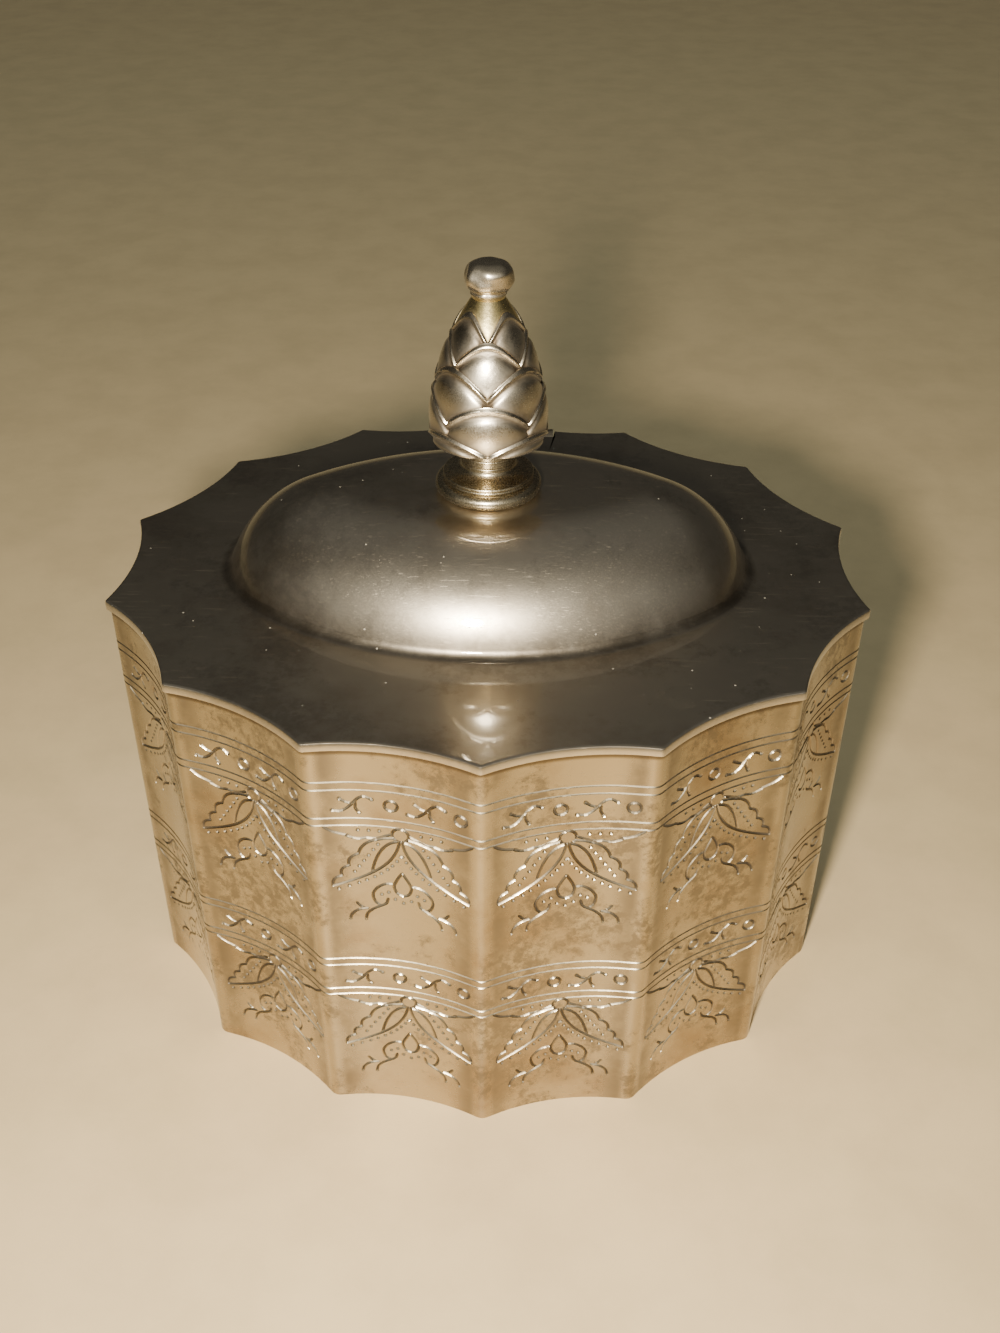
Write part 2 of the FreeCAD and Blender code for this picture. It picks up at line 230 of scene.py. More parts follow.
def ridge_points(half_length, half_width, number):
    """Points of the oval, equal distances apart, from the front round to the right."""
    start = -math.pi / 2

    def oval(angle):
        return complex(half_length * math.cos(angle), half_width * math.sin(angle))

    def places(chord):
        angles = [start]
        for _ in range(number):
            last = angles[-1]
            angles.append(halved(last, last + math.pi, lambda angle: abs(oval(angle) - oval(last)) < chord))
        return angles

    chord = halved(0.0, 2 * half_width, lambda chord: places(chord)[-1] < start + 2 * math.pi)
    return [oval(angle) for angle in places(chord)[:-1]]


def unit(step):
    return step / abs(step)


class Arc:
    """A stretch of the plan: an arc about a centre, from one direction to another."""

    def __init__(self, centre, radius, first, last):
        self.centre = centre
        self.radius = radius
        self.first = first
        turn = last / first
        self.turn = math.atan2(turn.imag, turn.real)
        self.length = radius * abs(self.turn)

    def points(self, places):
        return [self.centre + self.radius * self.first * np.exp(1j * self.turn * place) for place in places]


class Plan:
    """The scalloped outline: flutes that meet in rounded ridges."""

    def __init__(self, sizes):
        self.number = sizes.flutes
        self.ridges = ridge_points(sizes.half_length, sizes.half_width, sizes.flutes)
        self.depth = sizes.flute_depth
        chord = abs(self.ridges[1] - self.ridges[0])
        self.radius = (chord ** 2 / 4 + self.depth ** 2) / (2 * self.depth)

    def flute_centre(self, index):
        start = self.ridges[index % self.number]
        end = self.ridges[(index + 1) % self.number]
        return (start + end) / 2 - 1j * unit(end - start) * (self.radius - self.depth)

    def ridge(self, index, nose):
        """Centre of a ridge's round and the direction from it to the ridge's tip."""
        before = self.flute_centre(index - 1)
        after = self.flute_centre(index)
        inward = 1j * unit(after - before)
        reach = math.sqrt((self.radius + nose) ** 2 - abs(after - before) ** 2 / 4)
        return (before + after) / 2 + inward * reach, -inward

    def panel(self, index, inset, nose):
        """The three arcs from a ridge's tip to the next one's; nose is the ridge's round before the inset."""
        start, start_tip = self.ridge(index, nose)
        end, end_tip = self.ridge(index + 1, nose)
        flute = self.flute_centre(index)
        return [
            Arc(start, nose - inset, start_tip, unit(flute - start)),
            Arc(flute, self.radius + inset, unit(start - flute), unit(end - flute)),
            Arc(end, nose - inset, unit(flute - end), end_tip),
        ]

    def outline(self, inset, nose, steps):
        """Points of the whole outline, with so many steps on each of a panel's three arcs."""
        points = []
        for index in range(self.number):
            for arc, parts in zip(self.panel(index, inset, nose), steps):
                points += arc.points(np.arange(parts) / parts)
        return np.array(points)


# Meshes

def mesh_object(name, vertices, faces):
    mesh = bpy.data.meshes.new(name)
    corners = [tuple(int(index) for index in face) for face in faces]
    mesh.from_pydata([tuple(vertex) for vertex in vertices], [], corners, shade_flat=False)
    mesh.validate()
    obj = bpy.data.objects.new(name, mesh)
    bpy.context.scene.collection.objects.link(obj)
    return obj


def dress(obj, material, body, node):
    """Gives a finished piece its finish and its place on the frame."""
    obj.data.materials.clear()
    obj.data.materials.append(material)
    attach(obj, body)
    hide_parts(node)


def point_values(mesh, name, values):
    attribute = mesh.attributes.new(name, "FLOAT", "POINT")
    attribute.data.foreach_set("value", np.asarray(values, np.float32))


def ring_faces(rings, number):
    """Quads between rings of so many points, each ring following the one before."""
    faces = []
    for ring in range(rings - 1):
        for step in range(number):
            here = ring * number + step
            beside = ring * number + (step + 1) % number
            faces.append((here, beside, beside + number, here + number))
    return faces


def stacked(name, points, number, bottom, top):
    """Rings of so many points, one above the other, closed at both ends by a point on the upright axis."""
    faces = ring_faces(len(points) // number, number)
    foot, crown = len(points), len(points) + 1
    last = foot - number
    for step in range(number):
        beside = (step + 1) % number
        faces.append((beside, step, foot))
        faces.append((last + step, last + beside, crown))
    return mesh_object(name, [*points, (0, 0, bottom), (0, 0, top)], faces)


def turned_piece(name, profile, segments):
    """A piece turned about the upright axis; its profile starts and ends on the axis, bottom first."""
    angles = 2 * math.pi * np.arange(segments) / segments
    points = []
    for radius, height in profile[1:-1]:
        points += [(radius * np.cos(a), radius * np.sin(a), height) for a in angles]
    return stacked(name, points, segments, profile[0][1], profile[-1][1])


# Engraving, in millimetres on a flat panel: x from the middle of a flute, y up from a band's lowest line

SPRIG_STROKES = (
    ((-2.5, -1.0), (-1.5, -1.15), (-0.6, -0.55), (0.0, 0.15), (0.6, 0.85), (1.35, 1.25), (2.3, 0.8)),
    ((-1.55, 0.8), (-0.9, 0.3), (-0.1, 0.05)),
    ((0.3, 0.15), (0.3, -0.7), (0.7, -1.35)),
)
SPRIG_BALLS = ((-2.5, -1.0), (2.3, 0.8), (-1.55, 0.8), (0.7, -1.35))
SPRIG_PLACES = (-5.6, 3.5)
RING_PLACES = (-1.0, 7.8)
FRIEZE_MIDDLE = 3.45
RING_RADIUS = 0.8
BALL_RADIUS = 0.34
RULED_LINES = (0.0, 1.15, 5.6, 6.8)
BOSS_PLACE = (0.0, -1.15)
BOSS_RADIUS = 1.05

# The left half of the leaves and scrolls; the right half mirrors it
LEAF_TIP = (-8.75, -10.1)
HALF_STROKES = (
    ((-9.3, -0.25), (-8.2, -1.05), (-6.4, -1.65)),
    ((-6.6, -1.75), (-5.4, -2.15), (-4.2, -1.95)),
    ((-4.3, -1.95), (-3.0, -1.95), (-1.3, -1.2)),
    ((-1.05, -1.75), (-2.2, -1.95), (-3.0, -2.25)),
    ((-1.35, -9.5), (-2.2, -9.6), (-3.2, -10.3), (-3.85, -11.5), (-3.6, -12.8), (-2.95, -13.4)),
    ((-1.95, -12.1), (-2.2, -12.95), (-2.85, -13.45), (-3.9, -14.1), (-4.7, -15.0), (-4.95, -16.1)),
    ((-5.95, -13.1), (-5.5, -13.7), (-4.95, -14.05)),
    ((-4.6, -14.05), (-5.9, -14.4), (-6.7, -15.2), (-6.95, -16.1)),
)
LEAF_UNDERSIDE = ((-0.15, -2.3), (-1.07, -7.75), LEAF_TIP)
LEAF_INNER = ((-0.5, -2.25), (-2.75, -2.8), (-3.75, -7.5))
LEAF_LOBES = ((-3.0, -2.2), (-5.35, -4.7), (-6.6, -6.7), (-7.55, -8.4), LEAF_TIP)
LOBE_BULGE = 0.5
LEAF_DOTS = ((-2.85, -2.95), (-5.95, -7.7), 6)
LINE_DOTS = ((-5.2, -0.75), (-2.6, -0.75), 3)
EDGE_DOTS = 10
EDGE_STEPS = 100
EDGE_DOT_GAP = 0.72
EDGE_DOT_SPAN = (0.2, 0.97)
TEARDROP = ((0.0, -7.45), (-0.7, -8.7), (-1.1, -9.9), (-0.75, -11.0), (0.0, -11.4))
TEARDROP_DOTS = ((-2.75, -11.45), (-1.85, -11.0), (-1.05, -12.1))
LOWEST_DOT = (0.0, -12.6)


def bend(start, control, end, steps=24):
    """A curve from start to end that leaves and arrives towards the control point."""
    t = np.linspace(0, 1, steps + 1)[:, None]
    start, control, end = np.array(start), np.array(control), np.array(end)
    return start * (1 - t) ** 2 + control * 2 * t * (1 - t) + end * t ** 2


def through(points, steps=8):
    """A smooth curve through the points."""
    points = np.array(points, float)
    before = 2 * points[0] - points[1]
    after = 2 * points[-1] - points[-2]
    p = np.vstack([before, points, after])
    t = (np.arange(steps) / steps)[:, None]
    path = []
    for a, b, c, d in zip(p, p[1:], p[2:], p[3:]):
        path.append(b + (c - a) * t / 2 + (2 * a - 5 * b + 4 * c - d) * t ** 2 / 2
                    + (3 * b - a - 3 * c + d) * t ** 3 / 2)
    return np.vstack(path + [points[-1:]])


def evenly(path, spacing):
    """The same path with points about that far apart."""
    run = np.concatenate([[0], np.cumsum(np.linalg.norm(np.diff(path, axis=0), axis=1))])
    number = max(2, int(round(run[-1] / spacing)) + 1)
    places = np.linspace(0, run[-1], number)
    return np.stack([np.interp(places, run, path[:, 0]), np.interp(places, run, path[:, 1])], 1)


def circle(middle, radius, steps):
    angles = 2 * np.pi * np.arange(steps) / steps
    return np.array(middle) + radius * np.stack([np.cos(angles), np.sin(angles)], 1)


def row_between(first, last, number):
    first, last = np.array(first), np.array(last)
    return [first + (last - first) * place for place in np.linspace(0, 1, number)]


def leaf_half():
    """Strokes and dots of the left half of the motif."""
    strokes = [through(points) for points in HALF_STROKES]
    strokes += [bend(*LEAF_UNDERSIDE), bend(*LEAF_INNER), through(TEARDROP)]
    for start, end in zip(LEAF_LOBES, LEAF_LOBES[1:]):
        step = np.array(end) - np.array(start)
        outward = np.array((step[1], -step[0])) / np.linalg.norm(step)
        strokes.append(bend(start, (np.array(start) + np.array(end)) / 2 + outward * 2 * LOBE_BULGE, end))
    dots = row_between(*LEAF_DOTS) + row_between(*LINE_DOTS) + [np.array(dot) for dot in TEARDROP_DOTS]
    edge = bend(*LEAF_UNDERSIDE, steps=EDGE_STEPS)
    away = np.gradient(edge, axis=0)
    away = np.stack([-away[:, 1], away[:, 0]], 1) / np.linalg.norm(away, axis=1)[:, None]
    for place in np.linspace(*EDGE_DOT_SPAN, EDGE_DOTS):
        index = int(place * (len(edge) - 1))
        dots.append(edge[index] + away[index] * EDGE_DOT_GAP)
    return strokes, dots


def motif():
    """Every stroke, ring and dot that a band repeats in each flute, in millimetres."""
    half, half_dots = leaf_half()
    mirror = np.array((-1, 1))
    strokes = half + [stroke * mirror for stroke in half]
    dots = half_dots + [dot * mirror for dot in half_dots] + [np.array(LOWEST_DOT)]
    balls = []
    rings = [(np.array(BOSS_PLACE), BOSS_RADIUS)]
    for place in SPRIG_PLACES:
        middle = np.array((place, FRIEZE_MIDDLE))
        strokes += [through(points) + middle for points in SPRIG_STROKES]
        balls += [np.array(ball) + middle for ball in SPRIG_BALLS]
    for place in RING_PLACES:
        rings.append((np.array((place, FRIEZE_MIDDLE)), RING_RADIUS))
    return strokes, rings, dots, balls


class FlutePanel:
    """One engraved flute laid out flat, in millimetres: x along the wall, y up it, cuts going in."""

    SPACING = 0.42
    NOSE_STEPS = 5
    FLUTE_STEP = 1.1
    ROW_STEP = 2.4
    CLEAR = 0.42
    RING_STEPS = 20
    DOT_STEPS = 7
    WELD = 1e-4
    MATCH_DIGITS = 3
    CHUNK = 400

    def __init__(self, width, height, nose, sizes):
        self.width = width
        self.height = height
        self.cuts = []
        self.pits = []
        self.points = []
        self.edges = []
        flute = width - 2 * nose
        nose_columns = nose * np.arange(self.NOSE_STEPS) / self.NOSE_STEPS
        flute_columns = nose + flute * np.linspace(0, 1, int(flute / self.FLUTE_STEP) + 1)
        self.columns = np.concatenate([nose_columns, flute_columns, np.sort(width - nose_columns)])
        self.levels = {0.0, height}
        for band in (sizes.lower_band / MM, sizes.upper_band / MM):
            self.engrave_band(band, sizes)

    def engrave_band(self, band, sizes):
        strokes, rings, dots, balls = motif()
        half_line = sizes.line_width / MM / 2
        for line in RULED_LINES:
            level = band + line
            path = np.stack([self.columns, np.full(len(self.columns), level)], 1)
            self.cut(path, half_line, sizes.line_depth / MM, runs_off=True)
            self.levels.update((level - half_line, level, level + half_line))
        middle = np.array((self.width / 2 + sizes.shift / MM, band))
        half = sizes.stroke_width / MM / 2
        for stroke in strokes:
            self.cut(evenly(stroke + middle, self.SPACING), half, sizes.stroke_depth / MM)
        for place, radius in rings:
            steps = int(self.RING_STEPS * max(radius, RING_RADIUS))
            self.cut(circle(place + middle, radius, steps), half, sizes.stroke_depth / MM, closed=True)
        for dot in dots:
            self.pit(dot + middle, sizes.dot_radius / MM, sizes.dot_depth / MM)
        for ball in balls:
            self.pit(ball + middle, BALL_RADIUS, sizes.stroke_depth / MM)

    def line(self, path, closed=False):
        first = len(self.points)
        self.points += [tuple(p) for p in path]
        last = len(self.points) - 1
        self.edges += [(index, index + 1) for index in range(first, last)]
        if closed:
            self.edges.append((last, first))

    def cut(self, path, half_width, depth, closed=False, runs_off=False):
        """A groove with a V section, pointed at its ends unless it is closed or runs off the panel."""
        along = np.gradient(path, axis=0)
        if closed:
            along = np.roll(path, -1, axis=0) - np.roll(path, 1, axis=0)
        along /= np.linalg.norm(along, axis=1)[:, None]
        side = np.stack([-along[:, 1], along[:, 0]], 1) * half_width
        ends = [path[0] - along[0] * half_width], [path[-1] + along[-1] * half_width]
        for edge in (path + side, path - side):
            self.line(edge if closed or runs_off else np.vstack([ends[0], edge, ends[1]]), closed)
        self.line(path, closed)
        following = np.roll(path, -1, axis=0) if closed else path[1:]
        starts = path if closed else path[:-1]
        self.cuts += [(*a, *b, half_width, depth) for a, b in zip(starts, following)]

    def pit(self, middle, radius, depth):
        """A punched dot."""
        self.line(circle(middle, radius, self.DOT_STEPS), closed=True)
        self.points.append(tuple(middle))
        self.pits.append((*middle, radius, depth))

    def clearance_and_depth(self, places):
        """Distance from each place to the nearest cut's edge, and the depth of the cuts there."""
        cuts = np.array(self.cuts)
        pits = np.array(self.pits)
        start, step = cuts[:, 0:2], cuts[:, 2:4] - cuts[:, 0:2]
        clear, deep = [], []
        for chunk in np.array_split(places, max(1, len(places) // self.CHUNK)):
            gap = chunk[:, None, :] - start[None]
            place = np.clip((gap * step).sum(2) / (step ** 2).sum(1), 0, 1)
            far = np.linalg.norm(gap - place[..., None] * step, axis=2)
            pit_far = np.linalg.norm(chunk[:, None, :] - pits[None, :, 0:2], axis=2)
            clear.append(np.minimum((far - cuts[:, 4]).min(1), (pit_far - pits[:, 2]).min(1)))
            groove = (np.clip(1 - far / cuts[:, 4], 0, 1) * cuts[:, 5]).max(1)
            punch = (np.clip(1 - pit_far / pits[:, 2], 0, 1) * pits[:, 3]).max(1)
            deep.append(np.maximum(groove, punch))
        return np.concatenate(clear), np.concatenate(deep)

    def top_path(self, notch):
        """The upper edge from left to right; a notch is the stretch and the height that it is cut down to."""
        path = [(x, self.height) for x in self.columns]
        if notch is None:
            return path
        low, high, bottom = notch
        path = [p for p in path if not low - self.WELD < p[0] < high + self.WELD]
        floor = [(x, bottom) for x in self.columns if low <= x <= high]
        if low > 0:
            floor = [(low, self.height), (low, bottom)] + floor
        if high < self.width:
            floor = floor + [(high, bottom), (high, self.height)]
        return sorted(path + floor, key=lambda p: p[0])

    def triangles(self, points, edges, notch):
        points, _, faces, _, _, _ = delaunay_2d_cdt([Vector(p) for p in points], edges, [], 0, self.WELD)
        points = np.array(points)
        if notch is not None:
            low, high, bottom = notch
            middles = [points[face].mean(0) for face in faces]
            faces = [f for f, m in zip(faces, middles) if not (low < m[0] < high and m[1] > bottom)]
        return points, faces


PANEL_KINDS = ("panel_0_whole", "panel_1_notch_at_end", "panel_2_notch_at_start")
WHOLE, NOTCH_AT_END, NOTCH_AT_START = PANEL_KINDS

# Kinds of a panel's faces
GROUND, CUT, BACK, RIM = range(4)


def panel_slab(name, panel, thickness, notch):
    """The panel as a slab without ends: its front, with the cuts, faces -Y, and rims join it to its back."""
    top = panel.top_path(notch)
    bottom = [(x, 0.0) for x in panel.columns]
    side_top = {0.0: panel.height, panel.width: panel.height}
    if notch is not None:
        side_top[0.0 if notch[0] <= 0 else panel.width] = notch[2]
    sides = [(x, y) for x in (0.0, panel.width) for y in sorted(panel.levels) if 0 < y < side_top[x]]
    rim_edges = [(i, i + 1) for i in range(len(top) - 1)]
    rows = np.arange(panel.ROW_STEP, panel.height, panel.ROW_STEP)
    grid = np.array([(x, y) for x in panel.columns[1:-1] for y in rows])
    clear, _ = panel.clearance_and_depth(grid)
    grid = [tuple(p) for p in grid[clear > panel.CLEAR]]
    shift = len(top)
    edges = rim_edges + [(a + shift, b + shift) for a, b in panel.edges]
    front, front_faces = panel.triangles(top + panel.points + bottom + sides + grid, edges, notch)
    back, back_faces = panel.triangles(top + bottom, rim_edges, notch)
    _, depth = panel.clearance_and_depth(front)
    vertices = np.zeros((len(front) + len(back), 3))
    vertices[:len(front)] = np.stack([front[:, 0], depth, front[:, 1]], 1)
    vertices[len(front):] = np.stack([back[:, 0], np.full(len(back), thickness), back[:, 1]], 1)

    def spot(behind, x, y):
        return behind, round(x, panel.MATCH_DIGITS), round(y, panel.MATCH_DIGITS)

    place = {}
    for index, (x, _, y) in enumerate(vertices):
        place[spot(index >= len(front), x, y)] = index
    faces = [list(f) for f in front_faces] + [[i + len(front) for i in reversed(f)] for f in back_faces]
    kinds = [GROUND if max(depth[list(f)]) < panel.WELD else CUT for f in front_faces]
    kinds += [BACK] * len(back_faces)
    for path, forward in ((top, True), (bottom, False)):
        for a, b in zip(path, path[1:]):
            corners = ((False, *a), (False, *b), (True, *b), (True, *a))
            quad = [place[spot(*corner)] for corner in corners]
            faces.append(quad if forward else quad[::-1])
            kinds.append(RIM)
    obj = mesh_object(name, vertices * MM, faces)
    point_values(obj.data, "groove", np.concatenate([depth / max(depth), np.zeros(len(back))]))
    point_values(obj.data, "from_ridge", np.minimum(vertices[:, 0], panel.width - vertices[:, 0]))
    obj.data.attributes.new("surface", "INT", "FACE").data.foreach_set("value", kinds)
    return obj


# Nodes

def node(tree, kind, inputs=(), **settings):
    """A new node with its settings; each input takes a value or another node's output."""
    made = tree.nodes.new(kind)
    for name, value in settings.items():
        setattr(made, name, value)
    for name, value in dict(inputs).items():
        if isinstance(value, bpy.types.NodeSocket):
            tree.links.new(value, made.inputs[name])
        else:
            made.inputs[name].default_value = value
    return made


def sockets(group, in_out, names):
    """Gives a group its sockets, from pairs of a name and a kind."""
    for name, kind in names:
        group.interface.new_socket(name, in_out=in_out, socket_type="NodeSocket" + kind)


def maths(tree, operation, first, second):
    return node(tree, "ShaderNodeMath", {0: first, 1: second}, operation=operation).outputs[0]


def vectors(tree, operation, first, second=(0, 0, 0)):
    return node(tree, "ShaderNodeVectorMath", {0: first, 1: second}, operation=operation).outputs["Vector"]


WALL_INPUTS = (("Ridges", "Geometry"), ("Plan line", "Object"), ("Panels", "Collection"),
               ("Weld distance", "Float"), ("Finish", "Material"))
UPRIGHT = (0, 0, 1)


def wall_tree():
    """Lays panels end to end along a line, welds them and bends them round the plan."""
    tree = bpy.data.node_groups.new("fluted_wall", "GeometryNodeTree")
    sockets(tree, "INPUT", WALL_INPUTS)
    sockets(tree, "OUTPUT", [("Wall", "Geometry")])
    given = node(tree, "NodeGroupInput").outputs
    panels = node(tree, "GeometryNodeCollectionInfo", {
        "Collection": given["Panels"], "Separate Children": True, "Reset Children": True})
    kind = node(tree, "GeometryNodeInputNamedAttribute", {"Name": "panel_kind"}, data_type="INT")
    stretch = node(tree, "GeometryNodeInputNamedAttribute", {"Name": "panel_stretch"}, data_type="FLOAT")
    scale = node(tree, "ShaderNodeCombineXYZ", {"X": stretch.outputs["Attribute"], "Y": 1.0, "Z": 1.0})
    row = node(tree, "GeometryNodeInstanceOnPoints", {
        "Points": given["Ridges"], "Instance": panels.outputs["Instances"], "Pick Instance": True,
        "Instance Index": kind.outputs["Attribute"], "Scale": scale.outputs["Vector"]})
    real = node(tree, "GeometryNodeRealizeInstances", {"Geometry": row.outputs["Instances"]})
    strip = node(tree, "GeometryNodeMergeByDistance", {
        "Geometry": real.outputs["Geometry"], "Distance": given["Weld distance"]})
    position = node(tree, "GeometryNodeInputPosition").outputs["Position"]
    flat = node(tree, "ShaderNodeSeparateXYZ", {"Vector": position}).outputs
    line = node(tree, "GeometryNodeObjectInfo", {"Object": given["Plan line"]})
    plan = node(tree, "GeometryNodeSampleCurve", {"Curves": line.outputs["Geometry"], "Length": flat["X"]},
                mode="LENGTH", use_all_curves=True).outputs
    outward = vectors(tree, "NORMALIZE", vectors(tree, "CROSS_PRODUCT", plan["Tangent"], UPRIGHT))
    depth = maths(tree, "MULTIPLY", flat["Y"], -1.0)
    inward = node(tree, "ShaderNodeVectorMath", {0: outward, "Scale": depth}, operation="SCALE")
    rise = node(tree, "ShaderNodeCombineXYZ", {"Z": flat["Z"]})
    on_line = vectors(tree, "ADD", plan["Position"], inward.outputs["Vector"])
    bent = vectors(tree, "ADD", on_line, rise.outputs["Vector"])
    keep = node(tree, "GeometryNodeStoreNamedAttribute", {
        "Geometry": strip.outputs["Geometry"], "Name": "wall_normal", "Value": outward},
        data_type="FLOAT_VECTOR", domain="POINT")
    moved = node(tree, "GeometryNodeSetPosition", {"Geometry": keep.outputs["Geometry"], "Position": bent})
    closed = node(tree, "GeometryNodeMergeByDistance", {
        "Geometry": moved.outputs["Geometry"], "Distance": given["Weld distance"]})
    finish = node(tree, "GeometryNodeSetMaterial", {
        "Geometry": closed.outputs["Geometry"], "Material": given["Finish"]})
    node(tree, "NodeGroupOutput", {"Wall": finish.outputs["Geometry"]})
    return tree


def set_inputs(modifier, values):
    for item in modifier.node_group.interface.items_tree:
        if item.in_out == "INPUT" and item.name in values:
            modifier[item.identifier] = values[item.name]


def plan_curve(name, points):
    curve = bpy.data.curves.new(name, "CURVE")
    curve.dimensions = "3D"
    spline = curve.splines.new("POLY")
    spline.use_cyclic_u = True
    spline.points.add(len(points) - 1)
    for place, p in zip(spline.points, points):
        place.co = (p.real, p.imag, 0.0, 1.0)
    obj = bpy.data.objects.new(name, curve)
    bpy.context.scene.collection.objects.link(obj)
    return obj


def read(items, name, kind, width=1):
    """A property of every item, as an array."""
    values = np.zeros(len(items) * width, kind)
    items.foreach_get(name, values)
    return values.reshape(-1, width) if width > 1 else values


def face_normals(mesh):
    """Smooth sheet, crisp cuts: each corner's normal from the wall's own curve, or from its face."""
    kinds = read(mesh.attributes["surface"].data, "value", np.int32)
    sizes = read(mesh.polygons, "loop_total", np.int32)
    kind = np.repeat(kinds, sizes)[:, None]
    flat = np.repeat(read(mesh.polygons, "normal", np.float32, 3), sizes, axis=0)
    outward = read(mesh.attributes["wall_normal"].data, "vector", np.float32, 3)
    smooth = outward[read(mesh.loops, "vertex_index", np.int32)]
    mesh.normals_split_custom_set(np.where(kind == GROUND, smooth, np.where(kind == BACK, -smooth, flat)))


# Finishes

# Noises: scale in each metre, detail and roughness, then the values where a mask begins and is full.
# Stains have no scale here, because each finish gives its own, and waves are no mask.
STAIN_NOISE = (7.0, 0.62, 0.44, 0.72)
GRAIN_NOISE = (5200.0, 3.0, 0.7, 0.3, 0.75)
PATCH_NOISE = (55.0, 9.0, 0.72, 0.48, 0.57)
PORE_NOISE = (700.0, 4.0, 0.7, 0.35, 0.6)
SCRATCH_NOISE = (1.0, 1.0, 0.55, 0.69, 0.76)
WAVE_NOISE = (24.0, 2.0, 0.55)
MOTTLE_NOISE = (60.0, 8.0, 0.65, 0.3, 0.75)

# The last two numbers are how strong the mask is where it begins and where it is full
# Noise of the film and painted shade beside the wall's ridges
RIDGE_FILM_AND_SHADE_NOISE = (160.0, 6.0, 0.65, 0.3, 0.62, 0.25, 0.8)
# Noise of the dirt and painted shade in the lid's cove
COVE_SHADE_AND_DIRT_NOISE = (130.0, 6.0, 0.65, 0.3, 0.6, 0.5, 0.85)

# Directions of the scratches in radians, with their scales along and across, and how they lean with it
SCRATCHES = ((0.5, 160.0, 5200.0), (-0.9, 140.0, 4400.0), (1.9, 190.0, 6000.0))
SCRATCH_LEAN = (0.3, -0.2)

DUST_SCALE = 620.0
DUST_CHANCE = (0.50, 0.52)
DUST_SIZES = (0.02, 0.085)

# Millimetres from a ridge where its film and painted shade begin, are full and end
RIDGE_FILM_AND_SHADE = (0.7, 2.0, 5.5)

# The painted shade under the lid's edge: where it begins and is full, and how strong it is
UNDER_LID_SHADE = (WALL_HEIGHT - 0.9 * MM, WALL_HEIGHT - 0.35 * MM)
UNDER_LID_SHADE_STRENGTH = 0.85

# How dark the dirt and painted shade in the lid's cove are
COVE_SHADE_AND_DIRT_DARKNESS = 0.4
LID_COAT_ROUGHNESS = 0.035
LID_COAT_IOR = 3.0
WEAR_OUTPUTS = ("Stain", "Grain", "Scratch", "Dust", "Wave", "Film")


def rgba(values, amount=1.0):
    return (values[0] * amount, values[1] * amount, values[2] * amount, 1.0)


def weighted(tree, start, value, weight):
    """Start, plus the value times its weight."""
    inputs = {0: value, 1: weight, 2: start}
    return node(tree, "ShaderNodeMath", inputs, operation="MULTIPLY_ADD").outputs[0]


def ramp(tree, value, low, high, start=0.0, end=1.0):
    """A smooth step from start, where the value is low, to end, where it is high."""
    inputs = {"Value": value, "From Min": low, "From Max": high, "To Min": start, "To Max": end}
    return node(tree, "ShaderNodeMapRange", inputs, interpolation_type="SMOOTHSTEP").outputs["Result"]


def clouds(tree, place, scale, detail, rough):
    inputs = {"Vector": place, "Scale": scale, "Detail": detail, "Roughness": rough}
    return node(tree, "ShaderNodeTexNoise", inputs).outputs["Fac"]


def mask(tree, place, scale, detail, rough, *limits):
    """Noise as a mask between two of its values."""
    return ramp(tree, clouds(tree, place, scale, detail, rough), *limits)


def mixed(tree, amount, first, second):
    inputs = {"Factor": amount, "A": first, "B": second}
    return node(tree, "ShaderNodeMix", inputs, data_type="RGBA").outputs["Result"]


def scratches(tree, place):
    """Fine rubbed lines in a few directions."""
    lines = 0.0
    lean, tilt = SCRATCH_LEAN
    for turn, along, across in SCRATCHES:
        stretched = node(tree, "ShaderNodeMapping", {
            "Vector": place, "Rotation": (lean * turn, tilt * turn, turn), "Scale": (along, across, across)})
        fine = mask(tree, stretched.outputs["Vector"], *SCRATCH_NOISE)
        lines = maths(tree, "MAXIMUM", fine, lines)
    return lines


def dust(tree, place):
    """Specks of several sizes in some of the cells of a foam."""
    cells = node(tree, "ShaderNodeTexVoronoi", {"Vector": place, "Scale": DUST_SCALE}).outputs
    draw = node(tree, "ShaderNodeSeparateColor", {"Color": cells["Color"]}).outputs
    chosen = ramp(tree, draw["Red"], *DUST_CHANCE)
    size = ramp(tree, draw["Green"], 0.0, 1.0, *DUST_SIZES)
    return maths(tree, "MULTIPLY", chosen, maths(tree, "LESS_THAN", cells["Distance"], size))


def plate_wear():
    """The group of stains, grain, scratches, dust, waves and film of old plate, built once."""
    name = "plate_wear"
    if name in bpy.data.node_groups:
        return bpy.data.node_groups[name]
    group = bpy.data.node_groups.new(name, "ShaderNodeTree")
    sockets(group, "INPUT", (("Place", "Vector"), ("Stain size", "Float")))
    sockets(group, "OUTPUT", [(output, "Float") for output in WEAR_OUTPUTS])
    given = node(group, "NodeGroupInput").outputs
    place = given["Place"]
    patches = mask(group, place, *PATCH_NOISE)
    pores = mask(group, place, *PORE_NOISE)
    node(group, "NodeGroupOutput", {
        "Stain": mask(group, place, given["Stain size"], *STAIN_NOISE),
        "Grain": mask(group, place, *GRAIN_NOISE),
        "Scratch": scratches(group, place),
        "Dust": dust(group, place),
        "Wave": clouds(group, place, *WAVE_NOISE),
        "Film": maths(group, "MULTIPLY", patches, pores),
    })
    return group


